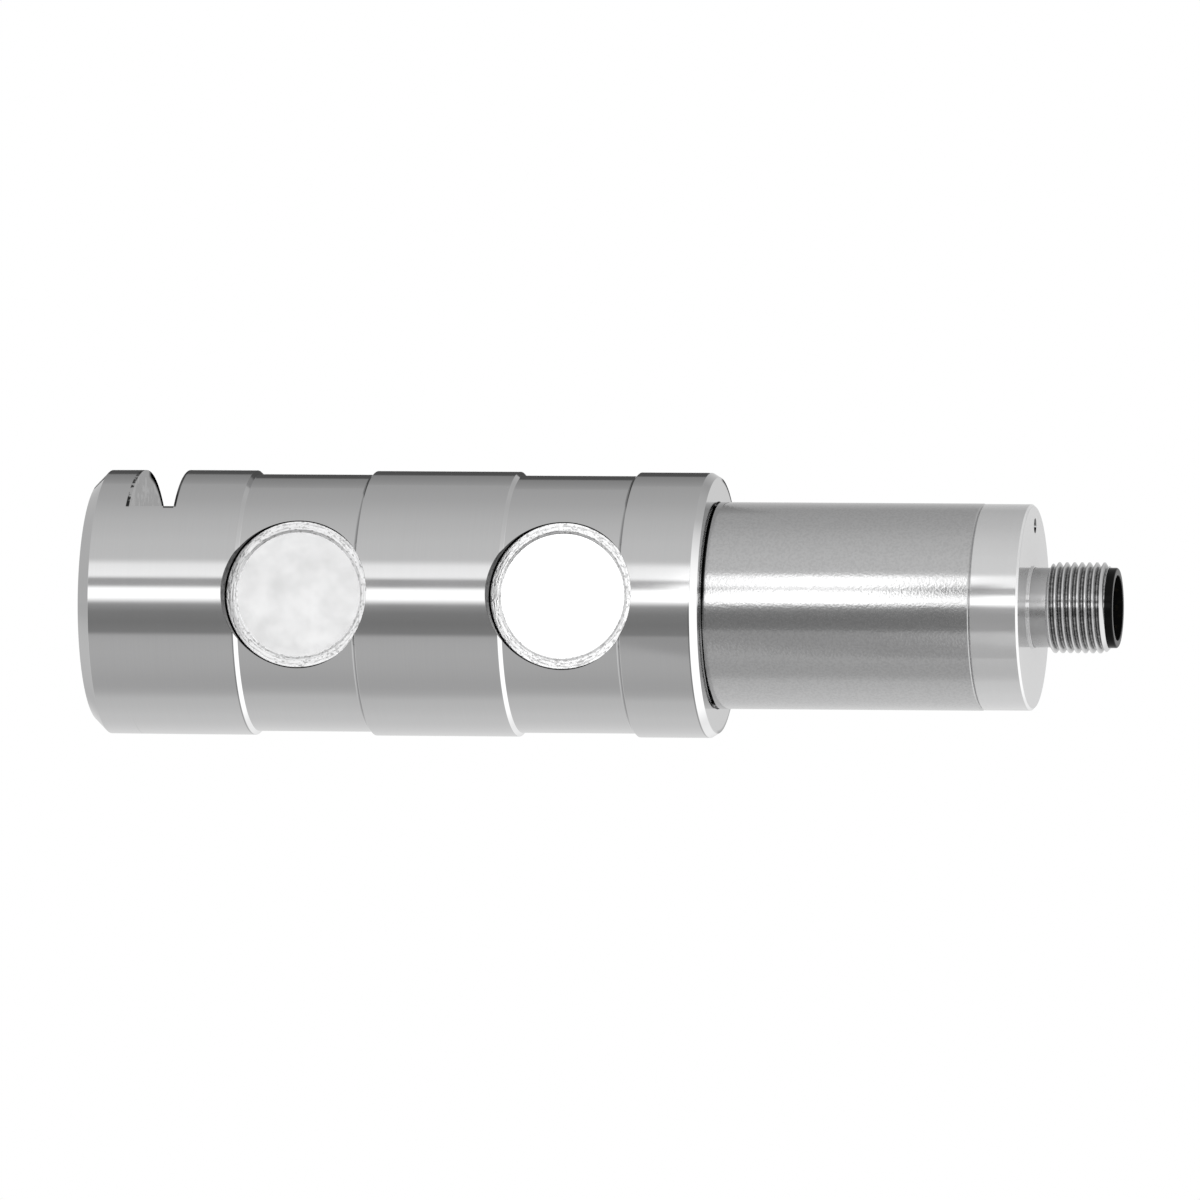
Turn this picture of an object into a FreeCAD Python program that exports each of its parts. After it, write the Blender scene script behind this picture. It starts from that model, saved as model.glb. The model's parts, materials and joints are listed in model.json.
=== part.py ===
import FreeCAD, Part
import math
import os
import Sketcher

# Shear pin load cell: a stepped load pin with four welded pocket covers, a slim
# amplifier housing on its end and a five-pole round connector.
# The origin is on the pin's axis at the middle of the load land.
# +X runs towards the connector, +Z towards the keeper slot, the front covers face -Y.

document = FreeCAD.newDocument("ShearPinLoadCell")
sheet = document.addObject("Spreadsheet::Sheet", "Sizes")

# Driving dimensions in millimetres, angles in degrees
sizes = {
    # turned pin
    "pin_radius": 17.5,
    "left_land_length": 21.1,
    "load_land_length": 19.1,
    "right_land_length": 10.3,
    "groove_length": 16.3,
    "groove_depth": 0.5,
    "groove_ramp": 0.5,
    "end_chamfer": 1.65,
    "taper_drop": 0.05,
    "shoulder_chamfer_length": 0.95,
    "shoulder_chamfer_drop": 0.58,
    "edge_break": 0.3,
    # keeper slot across the top of the left land
    "slot_offset": 6.1,
    "slot_width": 6.0,
    "slot_depth": 5.85,
    # turning centre in the left end face
    "centre_mouth_radius": 2.1,
    "centre_pilot_radius": 1.0,
    "centre_cone_depth": 1.9,
    "centre_pilot_depth": 4.5,
    # opposed gauge pockets
    "web_thickness": 6.0,
    "cavity_radius": 7.8,
    "pocket_radius": 9.75,
    "cover_recess": 3.7,
    "cover_thickness": 1.2,
    "cover_disc_radius": 8.2,
    "bead_height": 0.3,
    "bead_crest_width": 0.7,
    # amplifier housing
    "tube_radius": 13.65,
    "tube_wall": 1.15,
    "tube_length": 35.6,
    "root_drop": 0.5,
    "root_reach": 0.35,
    "relief_gap": 0.05,
    "relief_depth": 1.0,
    "spigot_length": 7.0,
    "fit_clearance": 0.03,
    "seam_chamfer": 0.2,
    # end cap
    "cap_step": 0.05,
    "cap_length": 6.5,
    "cap_chamfer": 0.3,
    "cap_wall": 4.5,
    "cap_spigot_length": 5.0,
    "dimple_radius": 1.0,
    "dimple_depth": 0.6,
    "dimple_inset": 2.8,
    "seat_ring_width": 0.22,
    "seat_ring_height": 0.25,
    # round seals
    "seal_section": 0.75,
    "seal_groove_play": 0.2,
    # connector
    "neck_radius": 5.25,
    "neck_length": 2.35,
    "thread_radius": 6.0,
    "thread_length": 7.85,
    "thread_chamfer": 0.4,
    "thread_front_chamfer": 0.6,
    "shell_bore_radius": 4.9,
    "flange_play": 0.4,
    "flange_thickness": 2.0,
    "collar_radius": 5.3,
    "collar_length": 1.05,
    "insert_bore_radius": 4.3,
    "insert_depth": 8.6,
    "insert_tail": 1.0,
    "key_width": 1.0,
    "key_height": 0.6,
    "key_recess": 0.6,
    "nut_thickness": 2.5,
    "nut_radius": 8.97,
    "nut_bore_radius": 5.6,
    "nut_slot_width": 1.6,
    "nut_slot_depth": 1.2,
    # contacts
    "contact_radius": 0.5,
    "contact_cup_radius": 0.7,
    "contact_circle": 2.75,
    "contact_recess": 1.3,
    "contact_tail": 2.5,
    "contact_point": 0.3,
    # gauges, terminals and leads
    "gauge_length": 6.0,
    "gauge_width": 5.0,
    "gauge_tab_width": 3.0,
    "gauge_thickness": 0.12,
    "terminal_reach": 3.5,
    "terminal_length": 2.2,
    "terminal_width": 6.0,
    "terminal_thickness": 0.6,
    "lead_radius": 0.6,
    "lead_bend": 1.6,
    "lead_rise": 3.5,
    "lead_overlap": 4.0,
    "channel_play": 0.3,
    "hookup_radius": 0.45,
    "hookup_overlap": 2.4,
    # amplifier board and its end rings
    "ring_width": 3.0,
    "ring_wall": 2.47,
    "ring_slot_depth": 2.0,
    "board_edge_inset": 1.07,
    "board_thickness": 1.6,
    "board_play": 0.05,
    "strip_length": 3.0,
    "strip_half_width": 3.2,
    "chip_offset": 5.5,
    "chip_length": 9.0,
    "chip_width": 6.4,
    "chip_height": 2.3,
    "chip_leg_reach": 1.3,
    "chip_leg_height": 0.3,
    "trimmer_offset": 6.5,
    "trimmer_edge_inset": 3.8,
    "trimmer_length": 6.5,
    "trimmer_width": 3.4,
    "trimmer_height": 4.2,
    "trimmer_screw_radius": 0.9,
    "trimmer_screw_height": 0.4,
    "capacitor_offset": 9.0,
    "capacitor_spread": 4.0,
    "capacitor_radius": 2.5,
    "capacitor_height": 5.5,
}

for row, (alias, value) in enumerate(sizes.items(), start=1):
    sheet.set(f"A{row}", alias)
    sheet.set(f"B{row}", str(value))
    sheet.setAlias(f"B{row}", alias)
document.recompute()

# Places along the axis, each worked out from the driving dimensions
half_load = "Sizes.load_land_length / 2"
pocket_centre = f"({half_load} + Sizes.groove_length / 2)"
groove_end = f"({half_load} + Sizes.groove_length)"
left_end = f"({groove_end} + Sizes.left_land_length)"
slot_left = f"(-{left_end} + Sizes.slot_offset)"
slot_right = f"({slot_left} + Sizes.slot_width)"
shoulder = f"({groove_end} + Sizes.right_land_length)"
relief_floor = f"({shoulder} - Sizes.relief_depth)"
spigot_end = f"({shoulder} + Sizes.spigot_length)"
seam = f"({shoulder} + Sizes.tube_length)"
cap_spigot_end = f"({seam} - Sizes.cap_spigot_length)"
cap_face = f"({seam} + Sizes.cap_length)"
flange_front = f"({cap_face} - Sizes.cap_wall)"
flange_rear = f"({flange_front} - Sizes.flange_thickness)"
neck_end = f"({cap_face} + Sizes.neck_length)"
thread_end = f"({neck_end} + Sizes.thread_length)"
connector_front = f"({thread_end} + Sizes.collar_length)"
insert_floor = f"({connector_front} - Sizes.insert_depth)"
insert_rear = f"({flange_rear} - Sizes.insert_tail)"
contact_rear = f"({insert_rear} - Sizes.contact_tail)"
ring_gap = "(Sizes.ring_width - Sizes.ring_slot_depth)"
board_left = f"({spigot_end} + {ring_gap})"
board_right = f"({cap_spigot_end} - {ring_gap})"

# Radii and heights that pieces share
groove_radius = "(Sizes.pin_radius - Sizes.groove_depth)"
tube_bore = "(Sizes.tube_radius - Sizes.tube_wall)"
spigot_radius = f"({tube_bore} - Sizes.fit_clearance)"
relief_radius = "(Sizes.tube_radius + Sizes.relief_gap)"
cap_radius = "(Sizes.tube_radius - Sizes.cap_step)"
cap_cavity_radius = "(Sizes.nut_radius + Sizes.fit_clearance)"
dimple_circle = f"({cap_radius} - Sizes.dimple_inset)"
flange_radius = f"({cap_cavity_radius} - Sizes.flange_play)"
ring_bore_radius = f"({spigot_radius} - Sizes.ring_wall)"
board_half_width = f"({spigot_radius} - Sizes.board_edge_inset)"
seal_floor = f"({tube_bore} - 2 * Sizes.seal_section - Sizes.fit_clearance)"
seal_half_groove = "(Sizes.seal_section + Sizes.seal_groove_play)"
housing_seal_place = f"({shoulder} + Sizes.spigot_length / 2)"
cap_seal_place = f"({seam} - Sizes.cap_spigot_length / 2)"
neck_hole_radius = "(Sizes.neck_radius + Sizes.fit_clearance)"
seal_bore_radius = f"({neck_hole_radius} + 2 * Sizes.seal_section + Sizes.fit_clearance)"
seal_bore_end = f"({flange_front} + 2 * Sizes.seal_section)"
half_web = "Sizes.web_thickness / 2"
cover_seat = "(Sizes.pin_radius - Sizes.cover_recess - Sizes.cover_thickness)"
cover_radius = "(Sizes.pocket_radius - Sizes.fit_clearance)"
half_board = "Sizes.board_thickness / 2"
lead_line = f"({half_web} + Sizes.lead_rise)"
lead_side = f"({half_board} + Sizes.lead_radius)"
channel_radius = f"({lead_side} + Sizes.lead_radius + Sizes.channel_play)"
contact_side = "(Sizes.contact_circle / sqrt(2))"

finished = []


def measure(text):
    value = sheet.evalExpression(text)
    return float(getattr(value, "Value", value))


def new_body(name):
    body = document.addObject("PartDesign::Body", name)
    finished.append(body)
    return body


def bind(item, **fields):
    for field, text in fields.items():
        item.setExpression(field, text)


def place(item, across="0", along="0", up="0", turn=None):
    corner = FreeCAD.Vector(measure(across), measure(along), measure(up))
    item.Placement = FreeCAD.Placement(corner, turn or FreeCAD.Rotation())
    item.setExpression("Placement.Base.x", across)
    item.setExpression("Placement.Base.y", along)
    item.setExpression("Placement.Base.z", up)


# A sketch on one of the body's own planes, moved along that plane's normal by offset
def new_sketch(body, name, plane, offset=None):
    sketch = body.newObject("Sketcher::SketchObject", name)
    origin_plane = [item for item in body.Origin.OriginFeatures if item.Role == plane]
    sketch.AttachmentSupport = (origin_plane[0], [""])
    sketch.MapMode = "FlatFace"
    if offset:
        sketch.setExpression("AttachmentOffset.Base.z", offset)
    return sketch


# Ties one end of a sketch line, or a circle's middle, to a pair of expressions
def tie_point(sketch, geometry, end, across, up):
    for kind, text in (("DistanceX", across), ("DistanceY", up)):
        rule = Sketcher.Constraint(kind, -1, 1, geometry, end, measure(text))
        number = sketch.addConstraint(rule)
        sketch.setExpression(f"Constraints[{number}]", text)


def draw_outline(sketch, corners):
    first = sketch.GeometryCount
    points = [FreeCAD.Vector(measure(across), measure(up), 0) for across, up in corners]
    following = points[1:] + points[:1]
    for start, end in zip(points, following):
        sketch.addGeometry(Part.LineSegment(start, end))
    count = len(points)
    for index in range(count):
        after = first + (index + 1) % count
        sketch.addConstraint(Sketcher.Constraint("Coincident", first + index, 2, after, 1))
    for index, (across, up) in enumerate(corners):
        tie_point(sketch, first + index, 1, across, up)


def draw_circle(sketch, across, up, radius):
    middle = FreeCAD.Vector(measure(across), measure(up), 0)
    circle = Part.Circle(middle, FreeCAD.Vector(0, 0, 1), measure(radius))
    geometry = sketch.addGeometry(circle)
    tie_point(sketch, geometry, 3, across, up)
    number = sketch.addConstraint(Sketcher.Constraint("Radius", geometry, measure(radius)))
    sketch.setExpression(f"Constraints[{number}]", radius)


# A body turned about its X axis from corners given as (place along X, radius)
def turned_body(name, corners):
    body = new_body(name)
    sketch = new_sketch(body, name + "_profile", "XY_Plane")
    draw_outline(sketch, corners)
    turning = body.newObject("PartDesign::Revolution", name + "_turning")
    turning.Profile = sketch
    turning.ReferenceAxis = (sketch, ["H_Axis"])
    turning.Angle = 360
    document.recompute()
    return body


# Every feature after the first has to change the volume in the right direction
def confirm_change(body, before, grows):
    document.recompute()
    change = body.Shape.Volume - before
    if (change > 0) != grows or abs(change) < 1e-6:
        raise ValueError(f"{body.Label}: a feature missed the solid")


def cut_sketch(body, sketch, name, length=None, reverse=False, symmetric=False):
    before = body.Shape.Volume
    pocket = body.newObject("PartDesign::Pocket", name)
    pocket.Profile = sketch
    pocket.Reversed = reverse
    if symmetric:
        pocket.SideType = "Symmetric"
    if length:
        pocket.setExpression("Length", length)
    else:
        pocket.Type = "ThroughAll"
    confirm_change(body, before, grows=False)
    return pocket


def box(name, length, width, height, across, along, up):
    solid = document.addObject("Part::Box", name)
    bind(solid, Length=length, Width=width, Height=height)
    place(solid, across, along, up)
    return solid


def rod(name, radius, length, across, along, up):
    solid = document.addObject("Part::Cylinder", name)
    bind(solid, Radius=radius, Height=length)
    place(solid, across, along, up, FreeCAD.Rotation(FreeCAD.Vector(0, 1, 0), 90))
    return solid


def fused(name, pieces):
    union = document.addObject("Part::MultiFuse", name)
    union.Shapes = pieces
    finished.append(union)
    return union


# A round groove for a seal, as corners of a turned profile
def seal_groove(middle):
    low = f"{middle} - {seal_half_groove}"
    high = f"{middle} + {seal_half_groove}"
    return [(low, spigot_radius), (low, seal_floor), (high, seal_floor), (high, spigot_radius)]


# One stepped gauge pocket: the wide mouth holds the cover, the narrower cavity reaches the web
def cut_gauge_pocket(body, name, end, side):
    before = body.Shape.Volume
    middle = f"{end} * {pocket_centre}"
    floor = f"{side} * {half_web}"
    seat = f"{side} * {cover_seat}"
    mouth = f"{side} * (Sizes.pin_radius + Sizes.edge_break)"
    cavity_wall = f"{middle} + Sizes.cavity_radius"
    pocket_wall = f"{middle} + Sizes.pocket_radius"
    sketch = new_sketch(body, name + "_profile", "XY_Plane")
    draw_outline(sketch, [
        (middle, floor),
        (cavity_wall, floor),
        (cavity_wall, seat),
        (pocket_wall, seat),
        (pocket_wall, mouth),
        (middle, mouth),
    ])
    low = FreeCAD.Vector(measure(middle), 0, 0)
    high = FreeCAD.Vector(measure(middle), measure(mouth), 0)
    axis = sketch.addGeometry(Part.LineSegment(low, high), True)
    tie_point(sketch, axis, 1, middle, "0")
    tie_point(sketch, axis, 2, middle, mouth)
    groove = body.newObject("PartDesign::Groove", name)
    groove.Profile = sketch
    groove.ReferenceAxis = (sketch, ["Axis0"])
    groove.Angle = 360
    confirm_change(body, before, grows=False)


# Load pin: lands, relief grooves, spigot, gauge pockets, keeper slot and lead channels.
# Beyond the keeper slot a slight taper leads down to the end chamfer.
def make_pin_body():
    mouth = f"-{left_end}"
    end_radius = "Sizes.pin_radius - Sizes.taper_drop"
    body = turned_body("pin_body", [
        (f"{mouth} + Sizes.centre_pilot_depth", "0"),
        (f"{mouth} + Sizes.centre_pilot_depth", "Sizes.centre_pilot_radius"),
        (f"{mouth} + Sizes.centre_cone_depth", "Sizes.centre_pilot_radius"),
        (mouth, "Sizes.centre_mouth_radius"),
        (mouth, f"{end_radius} - Sizes.end_chamfer"),
        (f"{mouth} + Sizes.end_chamfer", end_radius),
        (slot_right, "Sizes.pin_radius"),
        (f"-{groove_end}", "Sizes.pin_radius"),
        (f"-{groove_end} + Sizes.groove_ramp", groove_radius),
        (f"-{half_load} - Sizes.groove_ramp", groove_radius),
        (f"-{half_load}", "Sizes.pin_radius"),
        (half_load, "Sizes.pin_radius"),
        (f"{half_load} + Sizes.groove_ramp", groove_radius),
        (f"{groove_end} - Sizes.groove_ramp", groove_radius),
        (groove_end, "Sizes.pin_radius"),
        (f"{shoulder} - Sizes.shoulder_chamfer_length", "Sizes.pin_radius"),
        (shoulder, "Sizes.pin_radius - Sizes.shoulder_chamfer_drop"),
        (shoulder, relief_radius),
        (relief_floor, relief_radius),
        (relief_floor, spigot_radius),
        *seal_groove(housing_seal_place),
        (f"{spigot_end} - Sizes.edge_break", spigot_radius),
        (spigot_end, f"{spigot_radius} - Sizes.edge_break"),
        (spigot_end, "0"),
    ])
    for end_name, end in (("left", "-1"), ("right", "1")):
        for side_name, side in (("front", "-1"), ("rear", "1")):
            cut_gauge_pocket(body, f"{side_name}_{end_name}_pocket", end, side)

    slot_floor = "Sizes.pin_radius - Sizes.slot_depth"
    slot_top = "Sizes.pin_radius + Sizes.edge_break"
    slot = new_sketch(body, "keeper_slot_outline", "XZ_Plane")
    draw_outline(slot, [
        (slot_left, slot_floor),
        (slot_right, slot_floor),
        (slot_right, slot_top),
        (slot_left, slot_top),
    ])
    cut_sketch(body, slot, "keeper_slot", symmetric=True)

    channels = new_sketch(body, "lead_channel_circles", "YZ_Plane", f"-{pocket_centre}")
    for side in ("-1", "1"):
        draw_circle(channels, f"{side} * {lead_line}", "0", channel_radius)
    cut_sketch(body, channels, "lead_channels", reverse=True)


# Pocket cover: a flat disc inside a low welded bead, turned about its own axis
def make_covers():
    bead_middle = f"(Sizes.cover_disc_radius + {cover_radius}) / 2"
    bead_top = "Sizes.cover_thickness + Sizes.bead_height"
    for end_name, end in (("left", "-1"), ("right", "1")):
        for side_name, side in (("front", "-1"), ("rear", "1")):
            body = turned_body(f"{side_name}_cover_{end_name}", [
                ("0", "0"),
                ("0", cover_radius),
                ("Sizes.cover_thickness", cover_radius),
                (bead_top, f"{bead_middle} + Sizes.bead_crest_width / 2"),
                (bead_top, f"{bead_middle} - Sizes.bead_crest_width / 2"),
                ("Sizes.cover_thickness", "Sizes.cover_disc_radius"),
                ("Sizes.cover_thickness", "0"),
            ])
            outward = FreeCAD.Rotation(FreeCAD.Vector(0, 0, 1), 90 * int(side))
            place(body, f"{end} * {pocket_centre}", f"{side} * {cover_seat}", "0", outward)


# The front pieces in a pocket are drawn once; a half turn about X gives the rear ones
def each_pocket():
    for end_name, end in (("left", "-1"), ("right", "1")):
        for side_name, angle in (("front", 0), ("rear", 180)):
            turn = FreeCAD.Rotation(FreeCAD.Vector(1, 0, 0), angle)
            yield f"{side_name}_{end_name}", f"{end} * {pocket_centre}", turn, end_name


# Strain gauge foil: a backing sheet with a narrower solder tab, flat on the web
def make_gauges():
    half_length = "Sizes.gauge_length / 2"
    half_width = "Sizes.gauge_width / 2"
    half_tab = "Sizes.gauge_tab_width / 2"
    for name, middle, turn, _ in each_pocket():
        body = new_body(f"{name}_gauge")
        sketch = new_sketch(body, f"{name}_gauge_outline", "XZ_Plane", half_web)
        draw_outline(sketch, [
            (f"-{half_length}", f"-{half_width}"),
            (half_length, f"-{half_width}"),
            (half_length, f"-{half_tab}"),
            ("Sizes.terminal_reach", f"-{half_tab}"),
            ("Sizes.terminal_reach", half_tab),
            (half_length, half_tab),
            (half_length, half_width),
            (f"-{half_length}", half_width),
        ])
        sheet_pad = body.newObject("PartDesign::Pad", f"{name}_gauge_foil")
        sheet_pad.Profile = sketch
        sheet_pad.setExpression("Length", "Sizes.gauge_thickness")
        place(body, middle, turn=turn)


# Solder terminal beside each gauge
def make_terminals():
    half_width = "Sizes.terminal_width / 2"
    for name, middle, turn, _ in each_pocket():
        body = new_body(f"{name}_terminal")
        sketch = new_sketch(body, f"{name}_terminal_outline", "XZ_Plane", half_web)
        reach = "Sizes.terminal_reach"
        draw_outline(sketch, [
            (reach, f"-{half_width}"),
            (f"{reach} + Sizes.terminal_length", f"-{half_width}"),
            (f"{reach} + Sizes.terminal_length", half_width),
            (reach, half_width),
        ])
        block = body.newObject("PartDesign::Pad", f"{name}_terminal_block")
        block.Profile = sketch
        block.setExpression("Length", "Sizes.terminal_thickness")
        place(body, middle, turn=turn)


# Gauge lead: up from its terminal, round one bend, then along the channel to the board.
# The two leads of one side run either side of the board's plane.
def make_gauge_leads():
    start = f"-({half_web} + Sizes.terminal_thickness)"
    line = f"-{lead_line}"
    root = "Sizes.terminal_reach + Sizes.terminal_length / 2"
    bend_end = f"{root} + Sizes.lead_bend"
    bend_start = f"{line} + Sizes.lead_bend"
    for name, middle, turn, end_name in each_pocket():
        finish = f"{board_left} + Sizes.lead_overlap - ({middle})"
        body = new_body(f"{name}_lead")
        path = new_sketch(body, f"{name}_lead_path", "XY_Plane")
        corner = FreeCAD.Vector(measure(bend_end), measure(bend_start), 0)
        radius = measure("Sizes.lead_bend")
        root_x = measure(root)
        line_y = measure(line)
        path.addGeometry(Part.LineSegment(
            FreeCAD.Vector(root_x, measure(start), 0),
            FreeCAD.Vector(root_x, corner.y, 0)))
        path.addGeometry(Part.ArcOfCircle(
            Part.Circle(corner, FreeCAD.Vector(0, 0, 1), radius), math.pi, 1.5 * math.pi))
        path.addGeometry(Part.LineSegment(
            FreeCAD.Vector(corner.x, line_y, 0),
            FreeCAD.Vector(measure(finish), line_y, 0)))
        path.addConstraint(Sketcher.Constraint("Coincident", 0, 2, 1, 1))
        path.addConstraint(Sketcher.Constraint("Coincident", 1, 2, 2, 1))
        path.addConstraint(Sketcher.Constraint("Horizontal", 2))
        tie_point(path, 0, 1, root, start)
        tie_point(path, 0, 2, root, bend_start)
        tie_point(path, 1, 3, bend_end, bend_start)
        for end, text in ((1, bend_end), (2, finish)):
            rule = Sketcher.Constraint("DistanceX", -1, 1, 2, end, measure(text))
            number = path.addConstraint(rule)
            path.setExpression(f"Constraints[{number}]", text)
        section = new_sketch(body, f"{name}_lead_section", "XZ_Plane", f"-({start})")
        draw_circle(section, root, "0", "Sizes.lead_radius")
        pipe = body.newObject("PartDesign::AdditivePipe", f"{name}_lead_pipe")
        pipe.Profile = section
        pipe.Spine = path
        side = lead_side if end_name == "left" else f"-{lead_side}"
        height = side if turn.Angle == 0 else f"-{side}"
        place(body, middle, "0", height, turn)


# Housing tube between the pin's relief groove and the cap's seam, its root turned down
def make_housing_tube():
    root_radius = "Sizes.tube_radius - Sizes.root_drop"
    turned_body("housing_tube", [
        (relief_floor, tube_bore),
        (relief_floor, root_radius),
        (f"{shoulder} + Sizes.root_reach", root_radius),
        (f"{shoulder} + Sizes.root_reach", "Sizes.tube_radius"),
        (f"{seam} - Sizes.seam_chamfer", "Sizes.tube_radius"),
        (seam, "Sizes.tube_radius - Sizes.seam_chamfer"),
        (seam, tube_bore),
    ])


# End cap: spigot with a seal groove, seal bore, seat ring around the connector hole and a dimple
def make_end_cap():
    ring_face = f"{cap_face} + Sizes.seat_ring_height"
    ring_radius = f"{neck_hole_radius} + Sizes.seat_ring_width"
    body = turned_body("end_cap", [
        (cap_spigot_end, cap_cavity_radius),
        (cap_spigot_end, spigot_radius),
        *seal_groove(cap_seal_place),
        (seam, spigot_radius),
        (seam, f"{cap_radius} - Sizes.seam_chamfer"),
        (f"{seam} + Sizes.seam_chamfer", cap_radius),
        (f"{cap_face} - Sizes.cap_chamfer", cap_radius),
        (cap_face, f"{cap_radius} - Sizes.cap_chamfer"),
        (cap_face, ring_radius),
        (ring_face, ring_radius),
        (ring_face, neck_hole_radius),
        (seal_bore_end, neck_hole_radius),
        (seal_bore_end, seal_bore_radius),
        (flange_front, seal_bore_radius),
        (flange_front, cap_cavity_radius),
    ])
    dimple = new_sketch(body, "dimple_circle", "YZ_Plane", cap_face)
    draw_circle(dimple, "0", dimple_circle, "Sizes.dimple_radius")
    cut_sketch(body, dimple, "dimple", length="Sizes.dimple_depth")


# Round seals: two around the spigots, one around the connector's neck
def make_seals():
    around_tube = f"({tube_bore} - Sizes.seal_section - Sizes.fit_clearance / 2)"
    around_neck = f"({neck_hole_radius} + Sizes.seal_section)"
    for name, across, radius in (
        ("housing_seal", housing_seal_place, around_tube),
        ("cap_seal", cap_seal_place, around_tube),
        ("connector_seal", f"{flange_front} + Sizes.seal_section", around_neck),
    ):
        seal = document.addObject("Part::Torus", name)
        bind(seal, Radius1=radius, Radius2="Sizes.seal_section")
        place(seal, across, turn=FreeCAD.Rotation(FreeCAD.Vector(0, 1, 0), 90))
        finished.append(seal)


# Connector shell: rear flange, plain neck, thread at its crest diameter and a through bore
def make_connector_shell():
    turned_body("connector_shell", [
        (flange_rear, "Sizes.shell_bore_radius"),
        (flange_rear, flange_radius),
        (flange_front, flange_radius),
        (flange_front, "Sizes.neck_radius"),
        (neck_end, "Sizes.neck_radius"),
        (f"{neck_end} + Sizes.thread_chamfer", "Sizes.thread_radius"),
        (f"{thread_end} - Sizes.thread_front_chamfer", "Sizes.thread_radius"),
        (thread_end, "Sizes.thread_radius - Sizes.thread_front_chamfer"),
        (thread_end, "Sizes.shell_bore_radius"),
    ])


# Lock nut behind the flange, with two slots for a pin wrench
def make_lock_nut():
    body = turned_body("connector_lock_nut", [
        (f"{flange_rear} - Sizes.nut_thickness", "Sizes.nut_bore_radius"),
        (f"{flange_rear} - Sizes.nut_thickness", "Sizes.nut_radius"),
        (flange_rear, "Sizes.nut_radius"),
        (flange_rear, "Sizes.nut_bore_radius"),
    ])
    slots = new_sketch(body, "wrench_slots_outline", "XY_Plane")
    slot_back = f"{flange_rear} - Sizes.nut_thickness"
    slot_front = f"{slot_back} + Sizes.nut_slot_depth"
    draw_outline(slots, [
        (slot_back, f"-{cap_cavity_radius}"),
        (slot_front, f"-{cap_cavity_radius}"),
        (slot_front, cap_cavity_radius),
        (slot_back, cap_cavity_radius),
    ])
    cut_sketch(body, slots, "wrench_slots", length="Sizes.nut_slot_width", symmetric=True)


# Contact carrier: front collar, thin sleeve, floor with five contact holes and a coding key
def make_connector_insert():
    sleeve_radius = "(Sizes.shell_bore_radius - Sizes.fit_clearance)"
    body = turned_body("connector_insert", [
        (insert_rear, "0"),
        (insert_rear, sleeve_radius),
        (thread_end, sleeve_radius),
        (thread_end, "Sizes.collar_radius"),
        (connector_front, "Sizes.collar_radius"),
        (connector_front, "Sizes.insert_bore_radius"),
        (insert_floor, "Sizes.insert_bore_radius"),
        (insert_floor, "0"),
    ])
    before = body.Shape.Volume
    key = new_sketch(body, "coding_key_outline", "YZ_Plane", insert_floor)
    key_top = f"(Sizes.insert_bore_radius + {sleeve_radius}) / 2"
    key_low = "Sizes.insert_bore_radius - Sizes.key_height"
    draw_outline(key, [
        ("-Sizes.key_width / 2", key_low),
        ("Sizes.key_width / 2", key_low),
        ("Sizes.key_width / 2", key_top),
        ("-Sizes.key_width / 2", key_top),
    ])
    rib = body.newObject("PartDesign::Pad", "coding_key")
    rib.Profile = key
    rib.setExpression("Length", "Sizes.insert_depth - Sizes.key_recess")
    confirm_change(body, before, grows=True)

    middle_hole = new_sketch(body, "middle_contact_circle", "YZ_Plane", insert_floor)
    draw_circle(middle_hole, "0", "0", "Sizes.contact_radius")
    cut_sketch(body, middle_hole, "middle_contact_hole")
    outer_hole = new_sketch(body, "outer_contact_circle", "YZ_Plane", insert_floor)
    draw_circle(outer_hole, contact_side, contact_side, "Sizes.contact_radius")
    first = cut_sketch(body, outer_hole, "outer_contact_hole")
    before = body.Shape.Volume
    ring = body.newObject("PartDesign::PolarPattern", "outer_contact_holes")
    ring.Originals = [first]
    ring.Axis = (outer_hole, ["N_Axis"])
    ring.Angle = 360
    ring.Occurrences = 4
    body.Tip = ring
    confirm_change(body, before, grows=False)


# Places of the five contacts, as expressions across and up
def contact_places():
    spots = [("0", "0")]
    for up in ("1", "-1"):
        for across in ("-1", "1"):
            spots.append((f"{across} * {contact_side}", f"{up} * {contact_side}"))
    return spots


# Turned contact: solder cup behind the carrier, straight pin with a cone point in front
def make_contacts():
    reach = f"({connector_front} - Sizes.contact_recess - {insert_rear})"
    for number, (along, up) in enumerate(contact_places(), start=1):
        body = turned_body(f"contact_pin_{number}", [
            ("-Sizes.contact_tail", "0"),
            ("-Sizes.contact_tail", "Sizes.contact_cup_radius"),
            ("0", "Sizes.contact_cup_radius"),
            ("0", "Sizes.contact_radius"),
            (f"{reach} - Sizes.contact_point", "Sizes.contact_radius"),
            (reach, "Sizes.contact_radius / 2"),
            (reach, "0"),
        ])
        place(body, insert_rear, along, up)


# Hook-up leads from the contacts: four lie on the solder strips, the middle one meets the board
def make_hookup_leads():
    for number, (along, up) in enumerate(contact_places(), start=1):
        overlap = "0" if number == 1 else "Sizes.hookup_overlap"
        start = f"{board_right} - {overlap}"
        length = f"{contact_rear} - ({start})"
        lead = rod(f"hookup_lead_{number}", "Sizes.hookup_radius", length, start, along, up)
        finished.append(lead)


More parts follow.
